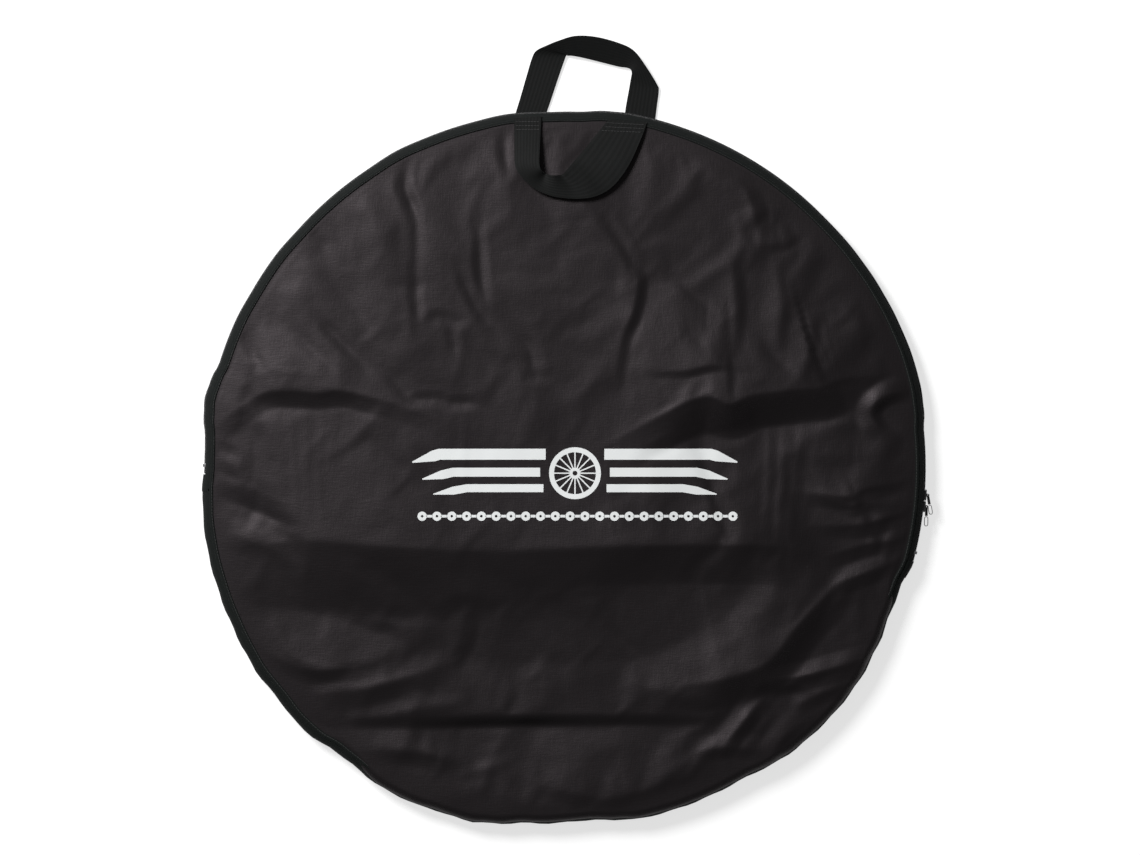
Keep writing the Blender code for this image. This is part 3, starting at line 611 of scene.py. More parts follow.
# Each fold: points along its ridge, its height, the widths of its left and right sides, and how
# softly its ridge is rounded, in mm. One with a negative height is a valley. A small crease has
# the usual widths and rounding.
FOLDS = (
    # across the middle, on the left and on the right
    (((-390, 8), (-357, 36), (-334, 56), (-305, 75), (-280, 78), (-250, 76), (-222, 78),
      (-180, 68), (-130, 52), (-105, 46)), 4.8, 110, 16, 1.6),
    (((-315, 80), (-280, 83), (-240, 81), (-205, 81)), 0.5),
    (((-318, 104), (-280, 98), (-240, 91), (-205, 84)), 1.6, 70, 18, 4),
    (((10, 8), (40, 24), (75, 42), (105, 58), (128, 69), (148, 71), (166, 64), (186, 73),
      (230, 79), (258, 82), (278, 90), (325, 93), (400, 78)), 13, 120, 34, 1.6),
    (((40, -12), (110, 22), (150, 34), (230, 44), (290, 50), (360, 46)), -5, 26, 112, 3),
    (((150, 66), (168, 60), (182, 66)), -1, 9, 12, 2),
    (((70, 98), (120, 98), (150, 104), (205, 100)), 1.6, 34, 7, 1.6),
    (((380, 64), (345, 76), (322, 72), (308, 58), (316, 40), (345, 26)), 5, 9, 15, 1.6),
    (((296, 62), (318, 77), (345, 90)), 0.8),
    # upper left
    (((-150, 345), (-158, 316), (-161, 285), (-155, 266), (-149, 245), (-149, 190)), -1.9, 8, 10),
    (((-150, 215), (-149, 170), (-146, 125)), -0.7),
    (((-86, 250), (-84, 195), (-76, 140)), -1.1),
    (((-112, 215), (-94, 172), (-76, 140)), -1),
    (((-256, 160), (-226, 128), (-192, 94)), -1.3),
    (((-280, 146), (-252, 118), (-222, 92)), -0.7),
    (((-335, 165), (-322, 130), (-300, 94)), -2.4, 18, 9),
    (((-140, 153), (-118, 150), (-96, 141)), -0.8),
    (((-120, 152), (-112, 130), (-110, 108)), -0.7),
    (((-160, 69), (-136, 69), (-116, 69)), -1),
    (((-132, 66), (-108, 65), (-84, 67)), -0.9),
    (((-188, 106), (-166, 82), (-146, 60)), -0.7),
    (((-272, 258), (-252, 234), (-232, 216)), -1, 10, 8),
    (((-330, 240), (-268, 180), (-240, 130)), 1.4, 34, 50, 8),
    (((-62, 360), (-61, 320), (-56, 285)), -1),
    (((-225, 300), (-190, 250), (-172, 195)), 1.2, 30, 34, 8),
    (((-215, 180), (-170, 150), (-110, 172)), 0.9, 34, 22, 6),
    (((-46, 92), (-28, 91), (-10, 91)), -0.5),
    (((-56, 150), (-36, 118), (-28, 80)), -1, 12, 16, 2.5),
    (((-20, 250), (-40, 200), (-36, 150)), 0.9, 26, 34, 8),
    (((-200, 190), (-160, 182), (-120, 190)), -0.5, 10, 12),
    (((-252, 200), (-214, 168), (-196, 130)), -0.5, 14, 10),
    # upper right
    (((30, 262), (60, 222), (78, 186)), -0.7),
    (((58, 236), (72, 192), (68, 158), (56, 128), (48, 78)), 2.4, 9, 42, 2),
    (((98, 200), (128, 176), (160, 146)), -0.7),
    (((170, 236), (192, 254), (214, 264)), 0.7, 12, 8),
    (((170, 300), (186, 266), (196, 230)), 1.7, 13, 26),
    (((90, 336), (145, 306), (190, 284), (232, 246), (275, 200)), 1.8, 24, 60, 6),
    (((166, 215), (171, 160), (164, 105)), 1.3, 9, 26, 3),
    (((210, 210), (217, 160), (210, 116)), 1.1, 8, 20),
    (((250, 165), (245, 120), (234, 82)), 1.3, 8, 20),
    (((196, 126), (216, 108), (234, 98)), -0.6),
    (((188, 232), (214, 226), (242, 240)), 1.1, 16, 8),
    (((10, 220), (25, 160), (34, 110)), 0.9, 26, 36, 8),
    (((270, 175), (290, 150), (300, 115)), 1, 12, 26, 4),
    (((110, 150), (134, 128), (140, 104)), -0.5, 9, 10),
    # left rim
    (((-380, 26), (-352, 21), (-322, 10)), -1.6),
    (((-380, 6), (-350, -3), (-322, -14)), -1.6, 10, 8),
    (((-385, -14), (-325, -38), (-300, -48), (-270, -62)), -2.6, 18, 18),
    (((-350, -60), (-320, -72), (-280, -88)), 1, 16, 12, 4),
    # the broad hollow below the print
    (((-420, -70), (-320, -76), (-255, -72), (-200, -76), (-100, -82), (0, -80),
      (100, -78)), 8.5, 190, 70, 3),
    (((-120, -84), (0, -80), (60, -77), (150, -76), (220, -78), (280, -92)), 10.1, 158, 39, 2),
    (((-270, -178), (-150, -188), (0, -196), (110, -186), (190, -150)), -4.2, 92, 90, 6),
    (((-300, -150), (-120, -146), (40, -128), (190, -118), (260, -124)), -2.2, 50, 70, 6),
    (((-380, -124), (-290, -140), (-235, -150), (-200, -162), (-140, -178)), -2.6, 46, 50, 2.5),
    (((-330, -166), (-265, -200), (-215, -200), (-130, -188)), 2.6, 60, 13, 1.6),
    (((-262, -228), (-205, -222), (-165, -212), (-98, -192)), 3.2, 18, 17, 1.6),
    (((-228, -257), (-150, -243), (-85, -234)), 1, 10, 8),
    (((-275, -262), (-100, -261), (0, -259), (185, -258)), -7.1, 10, 84, 1.8),
    (((-250, -284), (-170, -283), (-128, -289), (-80, -306)), 2.6, 22, 14),
    (((-115, -312), (-80, -302), (-44, -290)), 0.7),
    (((-92, -294), (-25, -316), (28, -330), (60, -328), (110, -312), (175, -302)), 2.2, 40, 14),
    (((-112, -210), (-92, -180), (-84, -136)), -1, 14, 18, 3),
    (((-140, -146), (-112, -128), (-76, -124)), 0.9, 22, 14, 3),
    (((20, -100), (30, -130), (22, -170)), 0.9, 20, 30, 5),
    (((-30, -190), (-20, -215), (-24, -250)), 0.8, 16, 26, 5),
    # lower right
    (((40, -206), (100, -180), (150, -158), (205, -112)), -1.4, 50, 60, 2),
    (((38, -154), (60, -174), (84, -194)), -0.7),
    (((60, -226), (130, -216), (165, -210), (204, -194), (234, -157), (258, -130),
      (310, -80)), 9.6, 112, 27, 1.6),
    (((180, -216), (250, -206), (340, -178)), 4.4, 14, 14, 1.6),
    (((198, -226), (228, -217), (254, -226)), 1.1),
    (((226, -242), (262, -224), (300, -212)), 3, 14, 10, 1.6),
    (((152, -288), (178, -256), (204, -226)), 3.2, 16, 11, 1.6),
    (((124, -286), (164, -281), (208, -284)), 2.8, 14, 10, 1.6),
    (((176, -312), (206, -290), (222, -268), (262, -240)), 3.4, 16, 12, 1.6),
    (((50, -212), (110, -226), (180, -242)), 1.2, 20, 18, 4),
    # right side waves
    (((212, -22), (262, -26), (288, -27), (304, -20), (380, -4)), 4.6, 26, 13, 1.6),
    (((250, -26), (284, -38), (304, -34), (345, -36)), 2.6, 10, 9),
    (((232, -56), (290, -57), (322, -50), (380, -30)), 4, 20, 13, 1.6),
    (((250, -92), (300, -77), (330, -72), (380, -58)), 3.8, 18, 13, 1.6),
    (((262, -120), (304, -104), (370, -80)), 3, 14, 12, 1.6),
    (((196, -10), (222, -44), (230, -96)), 1.2, 26, 34, 6),
    (((236, 32), (280, 44), (322, 30)), 0.8, 12, 12),
    (((190, 22), (260, 12), (345, 26)), 1.4, 24, 26, 5),
)


def smooth_line(points, steps):
    """A smooth line through points, with so many steps from each to the next."""
    points = [Vector(point) for point in points]
    line = []
    for i, (start, end) in enumerate(zip(points, points[1:])):
        before, after = points[max(i - 1, 0)], points[min(i + 2, len(points) - 1)]
        for step in range(steps):
            t = step / steps
            bend = (2 * before - 5 * start + 4 * end - after) * t * t
            twist = (3 * start - before - 3 * end + after) * t * t * t
            line.append((2 * start + (end - before) * t + bend + twist) / 2)
    return line + [points[-1]]


def fold_height(plan, points, rise, left=8, right=8, rounding=2.2):
    """The height of one fold over points of the plan: a ridge with a gentle and a steep side."""
    line = np.array([tuple(point) for point in smooth_line(points, FOLD_STEPS)])
    margin = 3 * max(left, right)
    near = np.all((plan > line.min(axis=0) - margin) & (plan < line.max(axis=0) + margin), axis=1)
    whole, plan = np.zeros(len(plan)), plan[near]
    best = np.full(len(plan), np.inf)
    signed = np.zeros(len(plan))
    way = np.zeros(len(plan))
    for i, (start, end) in enumerate(zip(line, line[1:])):
        run = end - start
        share = np.clip((plan - start) @ run / (run @ run), 0, 1)
        off = plan - start - share[:, None] * run
        reach = np.hypot(off[:, 0], off[:, 1])
        nearer = reach < best
        best[nearer] = reach[nearer]
        side = run[0] * off[:, 1] - run[1] * off[:, 0]
        signed[nearer] = np.copysign(reach, side)[nearer]
        way[nearer] = ((i + share) / (len(line) - 1))[nearer]
    width = np.where(signed > 0, left, right)
    ends = eased(np.clip(way / FOLD_END, 0, 1)) * eased(np.clip((1 - way) / FOLD_END, 0, 1))
    uneven = 1 + FOLD_UNEVEN * np.sin(way * 17 + points[0][0]) * np.sin(way * 7)
    down = np.clip((np.sqrt(best**2 + rounding**2) - rounding) / width, 0, 1)
    whole[near] = rise * ends * uneven * (1 - down) ** FOLD_SLOPE
    return whole


def crumple(plan, size, seed):
    """Slight unevenness of cloth that isn't pulled tight: a few slanted, bent waves."""
    rng = np.random.default_rng(seed)
    total = np.zeros(len(plan))
    moved = plan.copy()
    for _ in range(CRUMPLE_WAVES):
        heading = rng.uniform(0, math.tau)
        direction = np.array([math.cos(heading), math.sin(heading)])
        phase = moved @ direction * math.tau / (size * rng.uniform(0.8, 1.9)) + rng.uniform(0, 9)
        total += np.sin(phase)
        moved = moved + np.outer(np.sin(phase + 2), direction[::-1]) * size * 0.12
    return total / CRUMPLE_WAVES


def smoothed(field, width):
    """A square grid of values with its waves shorter than about the given width taken out."""
    spacing = 2 * SLACK_REACH / (SLACK_GRID - 1)
    reach = int(3 * width / spacing)
    steps = np.arange(-reach, reach + 1) * spacing / width
    kernel = np.exp(-0.5 * steps**2)
    for way in (0, 1):
        field = np.apply_along_axis(np.convolve, way, field, kernel / kernel.sum(), mode="same")
    return field


def settled_slack():
    """The small buckles of the slack cloth, as heights on a square grid: it is laid in the big
    folds a little too long for them, and settles in a cloth simulation with its edge held."""
    line = np.linspace(-SLACK_REACH, SLACK_REACH, SLACK_GRID)
    plan = np.stack(np.meshgrid(line, line), axis=-1).reshape(-1, 2)
    radius = np.hypot(plan[:, 0], plan[:, 1])
    share = np.minimum(radius / EDGE_START, 1) * EDGE_RINGS_SHARE / np.maximum(radius, MM)
    laid = np.column_stack([plan, front_shape(plan * share[:, None])[:, 2]])
    inside = radius < SLACK_REACH
    number = np.where(inside, np.cumsum(inside) - 1, -1).reshape(SLACK_GRID, SLACK_GRID)
    quads = np.stack([number[:-1, :-1], number[:-1, 1:], number[1:, 1:], number[1:, :-1]], axis=-1)
    quads = quads.reshape(-1, 4)
    quads = quads[(quads >= 0).all(axis=1)]
    mesh = bpy.data.meshes.new("slack")
    mesh.from_pydata(laid[inside].tolist(), [], quads.tolist())
    sheet = bpy.data.objects.new("slack", mesh)
    scene = bpy.context.scene
    scene.collection.objects.link(sheet)
    held = sheet.vertex_groups.new(name="held")
    at_edge = radius[inside] > SLACK_REACH - SLACK_RIM
    held.add(np.flatnonzero(at_edge).tolist(), 1.0, "REPLACE")
    held.add(np.flatnonzero(~at_edge).tolist(), SLACK_HOLD, "REPLACE")
    modifier = sheet.modifiers.new("cloth", "CLOTH")
    modifier.point_cache.frame_end = SLACK_FRAMES + 1
    cloth = modifier.settings
    cloth.quality = 5
    cloth.mass = 0.05
    cloth.tension_stiffness = cloth.compression_stiffness = 15
    cloth.shear_stiffness = 5
    cloth.bending_stiffness = SLACK_BENDING
    cloth.air_damping = 2
    cloth.vertex_group_mass = held.name
    cloth.pin_stiffness = 1
    cloth.shrink_min = -SLACK
    cloth.effector_weights.gravity = 0
    for frame_number in range(1, SLACK_FRAMES + 1):
        scene.frame_set(frame_number)
    settled = sheet.evaluated_get(bpy.context.evaluated_depsgraph_get()).data
    heights = np.array([vert.co.z for vert in settled.vertices])
    rise = np.zeros(len(plan))
    rise[inside] = heights - laid[inside, 2]
    scene.frame_set(1)
    bpy.data.objects.remove(sheet)
    rise = rise.reshape(SLACK_GRID, SLACK_GRID)
    fade = eased(np.clip((SLACK_REACH - radius) / SLACK_FADE, 0, 1)).reshape(rise.shape)
    return (rise - smoothed(rise, SLACK_WIDEST)) * fade


def on_grid(field, plan):
    """Reads a square grid of values at points, with a smooth spline through it."""
    place = (plan / SLACK_REACH + 1) / 2 * (SLACK_GRID - 1)
    cell = np.clip(np.floor(place).astype(int), 1, SLACK_GRID - 3)
    t = np.clip(place - cell, 0, 1)
    shares = ((1 - t) ** 3, 3 * t**3 - 6 * t**2 + 4, 1 + 3 * t + 3 * t**2 - 3 * t**3, t**3)
    total = np.zeros(len(plan))
    for i, across in enumerate(shares):
        for j, along in enumerate(shares):
            total += across[:, 0] * along[:, 1] / 36 * field[cell[:, 1] + j - 1, cell[:, 0] + i - 1]
    return total


def front_shape(disc, slack=None):
    """Places the points of a unit disc on the front panel as it lies."""
    share = np.hypot(disc[:, 0], disc[:, 1])
    angle = np.arctan2(disc[:, 1], disc[:, 0])
    degrees = np.degrees(angle) % 360
    wave = rim_wave(degrees)
    roll = eased(np.clip(np.interp(degrees, *zip(*ROLL_ZONE)), 0, 1))
    middle = share < EDGE_RINGS_SHARE
    edge = np.clip((share - EDGE_RINGS_SHARE) / (1 - EDGE_RINGS_SHARE), 0, 1)
    inner_radius = share / EDGE_RINGS_SHARE * EDGE_START
    held_radius = EDGE_START + (seam_radius + SEAM_TUCK - EDGE_START) * edge
    bend = np.clip((edge - ROLL_START) / (1 - ROLL_START), 0, 1) * math.radians(ROLL_TURN)
    ledge = seam_radius + ROLL_LEDGE - EDGE_START
    flat_part = EDGE_START + ledge * np.clip(edge / ROLL_START, 0, 1)
    rolled_radius = flat_part + ROLL_REACH * np.sin(bend)
    radius = np.where(middle, inner_radius, held_radius + (rolled_radius - held_radius) * roll)
    out = np.clip(radius / (seam_radius + SEAM_TUCK), 0, 1)
    radius = radius + wave * (radius / seam_radius) ** 2
    plan = np.stack([radius * np.cos(angle), radius * np.sin(angle)], axis=1)
    crown = CROWN * (1 - out**CROWN_POWER)
    lifted = np.clip((share - ROLL_LIFT_FROM) / ROLL_LIFT_OVER, 0, 1)
    seam_top = front_seam + SEAM_LIFT + ROLL_LIFT * roll * lifted
    drop = np.where(middle, 0, ROLL_DROP * (1 - np.cos(bend)) * roll)
    folds = np.zeros(len(plan))
    for fold in FOLDS:
        folds += fold_height(plan / MM, *fold)
    folds += sum(size * crumple(plan / MM, width, seed) for size, width, seed in CRUMPLES)
    hold = 1 - np.clip((out - HELD_FROM) / HELD_OVER, 0, 1) ** 2 * (1 - HELD_LESS * roll)
    hold *= eased(np.clip(2 - 2 * edge, 0, 1))
    height = seam_top + crown - drop + folds * MM * hold
    if slack is not None:
        height += SLACK_KEPT * on_grid(slack, plan)
    return np.column_stack([plan, height])


slack = settled_slack()
bm = disc_grid(FRONT_GRID)
front_points = front_shape(vertex_places(bm), slack)
front_panel = cloth_object("front_panel_cloth", bm, front_points)
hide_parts("front_panel_lower", "front_panel_upper")
ride_side(front_panel, True)

# Print. White screen print across the middle of the panel: a plain spoked wheel between speed
# stripes, over a row of chain links. Sizes in mm.
INK_LIFT = 0.2 * MM
PRINT_CELL = 3.0
WHEEL_PLACE = (10.0, -5.0)
WHEEL_RINGS = ((21.0, 26.0), (2.4, 5.6))
SPOKES = 16
SPOKE_WIDTH = 1.3
STRIPES = (
    ((-153, 6.0), (-126, 14.0), 11.0),
    ((-143, -11.0), (-112, -4.0), 9.0),
    ((-132, -26.0), (-98, -20.0), 8.0),
)
STRIPE_REACH = 35.0
TIP_WIDTH = 0.12
TIP_CELLS = 8
LINKS = 22
LINK_ROW = ((-143, -48.0), (168, -48.0))
LINK_SIZE = (4.7, 2.6)
LINK_END = 1.05

ink, tree, shader, place = new_material("white_ink")
speck = noise_at(tree, place, 1.4 * MM, 5.0, 0.7)
thin = ranged(tree, speck, 0.0, 0.35, 0.6, 0.78)
colour = blended(tree, thin, (0.80, 0.82, 0.82), (0.42, 0.42, 0.43))
feed(tree, shader, {"Base Color": colour, "Roughness": ranged(tree, speck, 0.4, 0.6)})
bumped(tree, shader, crossing_threads(tree, place), 0.03 * MM, 0.4)


def add_band(bm, path, widths):
    """A flat band of quads along a path of (x, y) points in millimetres."""
    path = [Vector(point) for point in path]
    rows = []
    for i, point in enumerate(path):
        along = (path[min(i + 1, len(path) - 1)] - path[max(i - 1, 0)]).normalized()
        aside = Vector((-along.y, along.x)) * widths[i] / 2
        cells = max(1, round(max(widths) / PRINT_CELL))
        row = [point - aside + aside * 2 * j / cells for j in range(cells + 1)]
        rows.append([bm.verts.new((spot.x * MM, spot.y * MM, 0)) for spot in row])
    for first, second in zip(rows, rows[1:]):
        for j in range(len(first) - 1):
            bm.faces.new((first[j], second[j], second[j + 1], first[j + 1]))


def spread(start, end, step=PRINT_CELL):
    """Points on a straight line, about a step apart."""
    start, end = Vector(start), Vector(end)
    count = max(1, round((end - start).length / step))
    return [start.lerp(end, i / count) for i in range(count + 1)]


def add_ring(bm, centre, inner, outer, steps=48):
    """A flat ring round a centre, in millimetres."""
    path = []
    for i in range(steps + 1):
        turn, radius = math.tau * i / steps, (inner + outer) / 2
        path.append((centre[0] + radius * math.cos(turn), centre[1] + radius * math.sin(turn)))
    add_band(bm, path, [outer - inner] * len(path))


DOWN = Vector((0, 0, -1))


def drape_on(bm, surface, lift):
    """Lays a flat mesh on the surface below it, or on the seam where there is none."""
    for vert in bm.verts:
        hit = surface.ray_cast(Vector((vert.co.x, vert.co.y, 1.0)), DOWN)[0]
        vert.co.z += (hit.z if hit else front_seam) + lift


panel_surface = BVHTree.FromPolygons(
    [Vector(point) for point in front_points.tolist()],
    [tuple(face.vertices) for face in front_panel.data.polygons],
)
bm = bmesh.new()
for inner, outer in WHEEL_RINGS:
    add_ring(bm, WHEEL_PLACE, inner, outer)
for i in range(SPOKES):
    turn = math.tau * i / SPOKES
    heading = Vector((math.cos(turn), math.sin(turn)))
    centre = Vector(WHEEL_PLACE)
    path = spread(centre + heading * WHEEL_RINGS[1][1], centre + heading * WHEEL_RINGS[0][0])
    add_band(bm, path, [SPOKE_WIDTH] * len(path))
for start, corner, width in STRIPES:
    for side in (-1, 1):
        gap = math.sqrt(max(0.0, STRIPE_REACH**2 - (corner[1] - WHEEL_PLACE[1]) ** 2))
        if side < 0:
            path = spread(start, corner) + spread(corner, (WHEEL_PLACE[0] - gap, corner[1]))[1:]
        else:
            far = (2 * WHEEL_PLACE[0] - corner[0], corner[1])
            tip = (2 * WHEEL_PLACE[0] - start[0], start[1])
            path = spread((WHEEL_PLACE[0] + gap, corner[1]), far) + spread(far, tip)[1:]
        widths = []
        for i in range(len(path)):
            from_tip = i if side < 0 else len(path) - 1 - i
            widths.append(width * min(1.0, TIP_WIDTH + from_tip / TIP_CELLS))
        add_band(bm, path, widths)
for i in range(LINKS):
    share = i / (LINKS - 1)
    middle = Vector(LINK_ROW[0]).lerp(Vector(LINK_ROW[1]), share)
    span = (LINK_ROW[1][0] - LINK_ROW[0][0]) / (LINKS - 1)
    add_ring(bm, middle, LINK_SIZE[1] * 0.5, LINK_SIZE[0], 16)
    if i < LINKS - 1:
        start = middle + Vector((LINK_SIZE[0] * LINK_END, 0))
        end = middle + Vector((span - LINK_SIZE[0] * LINK_END, 0))
        path = spread(start, end, 2.0)
        add_band(bm, path, [LINK_SIZE[1]] * len(path))
drape_on(bm, panel_surface, INK_LIFT)
bmesh.ops.recalc_face_normals(bm, faces=bm.faces)
for face in bm.faces:
    if face.normal.z < 0:
        face.normal_flip()
printed = finish_piece("wheel_print", bm, ink, 180.0)
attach(printed, "shell")

# Handles. Flat woven webbing, sewn in at both ends. The back one stands out at the top, its grip
# tilted up on edge, and the front one is folded down over the panel and buckles where it turns.
WEBBING_WIDTH = 29.6 * MM
WEBBING_THICKNESS = 1.7 * MM
WEBBING_LIFT = 0.5
WEBBING_ROWS = 12
STRAP_STEPS = 5
PATCH = 4 * MM
# Stations along each strap, in mm: its left and its right edge, each as x, y and the height above
# what it lies on.
BACK_HANDLE = (
    ((-52.0, 349.5, 0.2), (-21.5, 349.5, 0.2)),
    ((-50.2, 358.5, 0.2), (-19.0, 358.5, 0.2)),
    ((-45.5, 374.0, 0.3), (-14.4, 372.0, 0.3)),
    ((-39.0, 396.5, 0.8), (-7.4, 393.0, 0.6)),
    ((-33.4, 415.0, 2.0), (-1.0, 411.5, 1.0)),
    ((-29.0, 422.0, 4.0), (1.6, 418.0, 2.0)),
    ((-19.0, 426.6, 7.5), (4.5, 418.2, 3.5)),
    ((-6.4, 431.2, 11.0), (10.0, 417.0, 4.0)),
    ((10.5, 435.6, 13.5), (22.0, 414.4, 3.5)),
    ((31.8, 434.6, 13.0), (38.0, 410.4, 2.8)),
    ((55.5, 428.4, 11.0), (54.0, 406.4, 2.4)),
    ((70.0, 421.0, 8.5), (64.0, 404.6, 3.0)),
    ((82.5, 405.0, 5.0), (67.4, 400.6, 4.0)),
    ((93.0, 388.4, 1.6), (66.0, 391.0, 1.8)),
    ((94.9, 382.0, 0.8), (64.5, 382.0, 0.8)),
    ((93.0, 366.0, 0.3), (61.6, 366.0, 0.3)),
    ((91.0, 349.5, 0.2), (59.4, 349.5, 0.2)),
)
FRONT_HANDLE = (
    ((-51.0, 351.5, -1.2), (-23.6, 351.8, -1.2)),
    ((-51.0, 348.5, 0.2), (-23.8, 348.5, 0.2)),
    ((-50.8, 336.0, 0.8), (-24.6, 336.0, 1.2)),
    ((-50.4, 318.0, 3.0), (-25.4, 318.0, 5.0)),
    ((-49.4, 302.0, 5.0), (-25.6, 305.0, 8.6)),
    ((-40.5, 288.6, 5.2), (-23.6, 298.6, 9.0)),
    ((-26.0, 277.4, 4.4), (-19.0, 295.2, 4.6)),
    ((-6.0, 271.4, 3.6), (-12.0, 293.0, 7.6)),
    ((18.0, 270.0, 3.0), (-4.0, 293.6, 3.2)),
    ((36.0, 274.6, 3.0), (2.0, 299.0, 5.0)),
    ((51.0, 285.6, 3.4), (10.4, 309.0, 2.0)),
    ((64.4, 304.5, 3.6), (21.6, 322.4, 1.2)),
    ((75.4, 328.0, 2.6), (32.6, 336.0, 0.8)),
    ((81.0, 343.0, 0.6), (41.0, 346.4, 0.3)),
    ((82.4, 346.6, -1.0), (44.0, 350.0, -1.0)),
)
# Where the front handle is sewn down: y in mm.
SEWN_ROWS = (347.6, 343.6, 339.8)

webbing, tree, shader, place = new_material("woven_webbing")
lengths = put(tree, "ShaderNodeUVMap", {}, uv_map="strap")
across = part_of(tree, lengths, "X")
along = part_of(tree, lengths, "Y")
ribs = ripple(tree, across, 3.6 * MM)
slanted = maths(tree, "ADD", along, maths(tree, "PINGPONG", across, 1.8 * MM))
picks = ripple(tree, slanted, 1.5 * MM)
woven = put(tree, "ShaderNodeMath", {0: picks, 1: 0.55, 2: ribs}, operation="MULTIPLY_ADD")
fuzz = noise_at(tree, place, 3 * MM, 6.0, 0.7)
colour = blended(tree, fuzz, (0.0028, 0.0031, 0.0030), (0.0062, 0.0067, 0.0065))
feed(tree, shader, {"Base Color": colour, "Roughness": 0.7, "Specular IOR Level": 0.15})
feed(tree, shader, {"Sheen Weight": 0.02, "Sheen Roughness": 0.45})
weave = bumped(tree, shader, woven, 0.14 * MM, 0.6)
bumped(tree, shader, fuzz, 0.15 * MM, 0.5, weave)


def webbing_strap(name, stations, ground):
    """A woven strap through its stations. Its UVs hold the distance across and along it."""
    edges = [smooth_line([station[side] for station in stations], STRAP_STEPS) for side in (0, 1)]
    bm = bmesh.new()
    lengths = bm.loops.layers.uv.new("strap")
    rows = []
    for left, right in zip(*edges):
        row = []
        for j in range(WEBBING_ROWS + 1):
            spot = left.lerp(right, j / WEBBING_ROWS)
            place = Vector((spot.x, spot.y, 0)) * MM
            place.z = ground(place.x, place.y) + (WEBBING_LIFT + spot.z) * MM
            row.append(bm.verts.new(place))
        rows.append(row)
    bm.verts.index_update()
    middle = [row[WEBBING_ROWS // 2].co for row in rows]
    distance = [0.0]
    for first, second in zip(middle, middle[1:]):
        distance.append(distance[-1] + (second - first).length)
    for i in range(len(rows) - 1):
        for j in range(WEBBING_ROWS):
            corners = ((i, j), (i + 1, j), (i + 1, j + 1), (i, j + 1))
            face = bm.faces.new([rows[a][b] for a, b in corners])
            for loop, (a, b) in zip(face.loops, corners):
                loop[lengths].uv = (b / WEBBING_ROWS * WEBBING_WIDTH, distance[a])
    for face in bm.faces:
        face.normal_update()
    if sum(face.normal.z for face in bm.faces) < 0:
        bmesh.ops.reverse_faces(bm, faces=bm.faces)
    bmesh.ops.solidify(bm, geom=bm.faces[:], thickness=-WEBBING_THICKNESS)
    return finish_piece(name, bm, webbing, 50.0)


def panel_top(x, y):
    """The highest point of the front panel under a small patch of a strap."""
    highest = front_seam
    for step_x in (-PATCH, 0, PATCH):
        for step_y in (-PATCH, 0, PATCH):
            start = Vector((x + step_x, y + step_y, 1.0))
            hit = panel_surface.ray_cast(start, DOWN)[0]
            if hit is not None:
                highest = max(highest, hit.z)
    return highest


back_strap = webbing_strap("back_handle_webbing", BACK_HANDLE, lambda x, y: 0.0)
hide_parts("back_handle")
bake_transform(back_strap)
front_strap = webbing_strap("front_handle_webbing", FRONT_HANDLE, panel_top)
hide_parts("front_handle")
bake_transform(front_strap)
bm = bmesh.new()
for row in SEWN_ROWS:
    stitch_row(bm, [Vector((x, row, 0)) * MM for x in (-49.5, -25.5)])
    right_end = ((row - 306.0, row - 1.0, 0), (79.5, row - 3.0, 0))
    stitch_row(bm, [Vector(point) * MM for point in right_end])
strap_surface = BVHTree.FromObject(front_strap, bpy.context.evaluated_depsgraph_get())
drape_on(bm, strap_surface, THREAD / 5)
handle_stitches = finish_piece("front_handle_stitches", bm, thread, 60.0)
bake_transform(handle_stitches)

# Bindings. A ribbed tape folded over each seam and sewn through with one row of stitches.
BINDING_BULGE = 1.5 * MM
BINDING_SIDES = 14
BINDING_FLATNESS = 0.8
binding_inner = seam_radius + 0.6 * MM
binding_middle = (binding_inner + binding_outer) / 2
stitch_radius = binding_middle - 0.8 * MM
stitch_height = BINDING_BULGE * 0.93
section = []
for i in range(BINDING_SIDES):
    turn = math.tau * i / BINDING_SIDES
    across = math.copysign(abs(math.cos(turn)) ** BINDING_FLATNESS, math.cos(turn))
    across *= (binding_outer - binding_inner) / 2
    section.append((binding_middle + across, math.sin(turn) * BINDING_BULGE))
for side, nodes, seam, way in (
    ("back", ("back_binding",), back_seam, -1),
    ("front", ("front_binding_lower", "front_binding_upper"), front_seam, 1),
):
    bm = turned([(radius, seam + up) for radius, up in section])
    follow_rim(bm)
    tape = finish_piece(f"{side}_binding_tape", bm, rim_tape)
    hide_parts(*nodes)
    bm = bmesh.new()
    count = round(math.tau * binding_middle / STITCH_PITCH)
    start = Vector((stitch_radius, 0, seam + way * stitch_height))
    add_stitch(bm, start, start + Vector((0, STITCH_LENGTH, 0)), Vector((0, 0, way)))
    spin_round(bm, math.tau * (count - 1) / count, count - 1, use_duplicate=True)
    follow_rim(bm)
    sewing = finish_piece(f"{side}_binding_stitches", bm, thread, 60.0)
    ride_side(tape, side == "front")
    ride_side(sewing, side == "front")

# Studio. A white floor, an even pale surround and one large soft lamp from the upper left.
FLOOR_SIZE = 8.0
LAMP_PLACE = (-1.3, 1.35, 1.75)
LENS = 85.0
SENSOR = 36.0
VIEW_WIDTH = 1.1494
AIM = (0.0050, 0.0408)

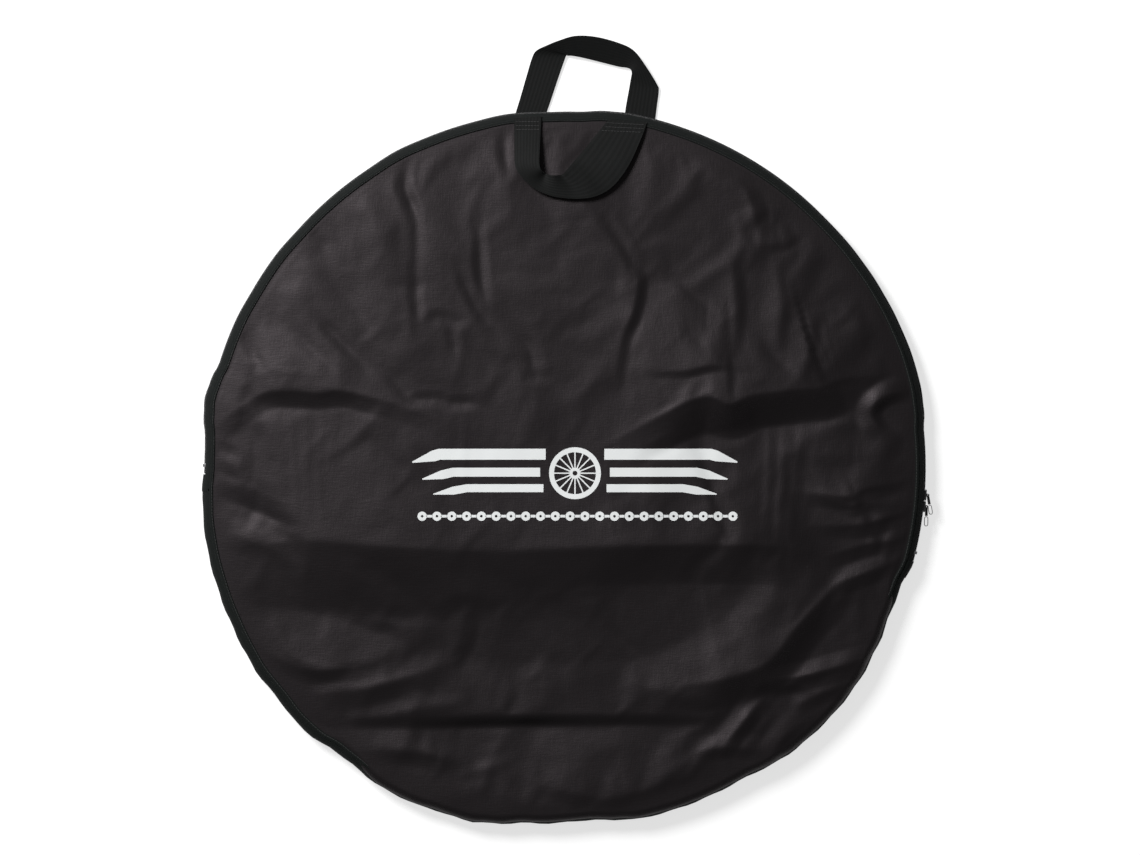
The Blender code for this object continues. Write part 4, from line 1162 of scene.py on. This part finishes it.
bm = bmesh.new()
bmesh.ops.create_grid(bm, x_segments=1, y_segments=1, size=FLOOR_SIZE / 2)
mesh = bpy.data.meshes.new("floor")
bm.to_mesh(mesh)
bm.free()
floor = bpy.data.objects.new("floor", mesh)
bpy.context.scene.collection.objects.link(floor)
paper, tree, shader, place = new_material("studio_paper")
rays = tree.nodes.new("ShaderNodeLightPath").outputs
seen = maths(tree, "MAXIMUM", rays["Is Camera Ray"], rays["Is Glossy Ray"])
seen = maths(tree, "MAXIMUM", seen, rays["Is Transmission Ray"])
around_bag = put(tree, "ShaderNodeMapping", {"Vector": place, "Scale": (0.6, 0.6, 0.6)})
near = put(tree, "ShaderNodeTexGradient", {"Vector": around_bag}, gradient_type="SPHERICAL")
glow = maths(tree, "MULTIPLY", seen, ranged(tree, near, 1.0, 0.6))
feed(tree, shader, {"Base Color": (0.48, 0.48, 0.48, 1), "Roughness": 0.9})
feed(tree, shader, {"Emission Color": (1, 1, 1, 1), "Emission Strength": glow})
mesh.materials.append(paper)
floor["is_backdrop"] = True

world = bpy.data.worlds.new("studio")
world.use_nodes = True
tree = world.node_tree
rays = tree.nodes.new("ShaderNodeLightPath").outputs
seen = maths(tree, "MAXIMUM", rays["Is Camera Ray"], rays["Is Transmission Ray"])
surround = {"Color": (1, 1, 1, 1), "Strength": ranged(tree, seen, 0.12, 1.0)}
feed(tree, tree.nodes["Background"], surround)
bpy.context.scene.world = world

lamp = bpy.data.lights.new("key_lamp", "AREA")
lamp.shape = "DISK"
lamp.size = 0.9
lamp.energy = 78.0
holder = bpy.data.objects.new("key_lamp", lamp)
bpy.context.scene.collection.objects.link(holder)
holder.location = LAMP_PLACE
holder.rotation_mode = "QUATERNION"
holder.rotation_quaternion = (-Vector(LAMP_PLACE)).to_track_quat("-Z", "Y")

camera_data = bpy.data.cameras.new("camera")
camera_data.lens = LENS
camera_data.sensor_width = SENSOR
camera = bpy.data.objects.new("camera", camera_data)
bpy.context.scene.collection.objects.link(camera)
camera.location = (*AIM, zip_height + VIEW_WIDTH * LENS / SENSOR)
camera_data.clip_end = 20.0
bpy.context.scene.camera = camera
bpy.context.scene.view_settings.view_transform = "Standard"

low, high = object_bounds()
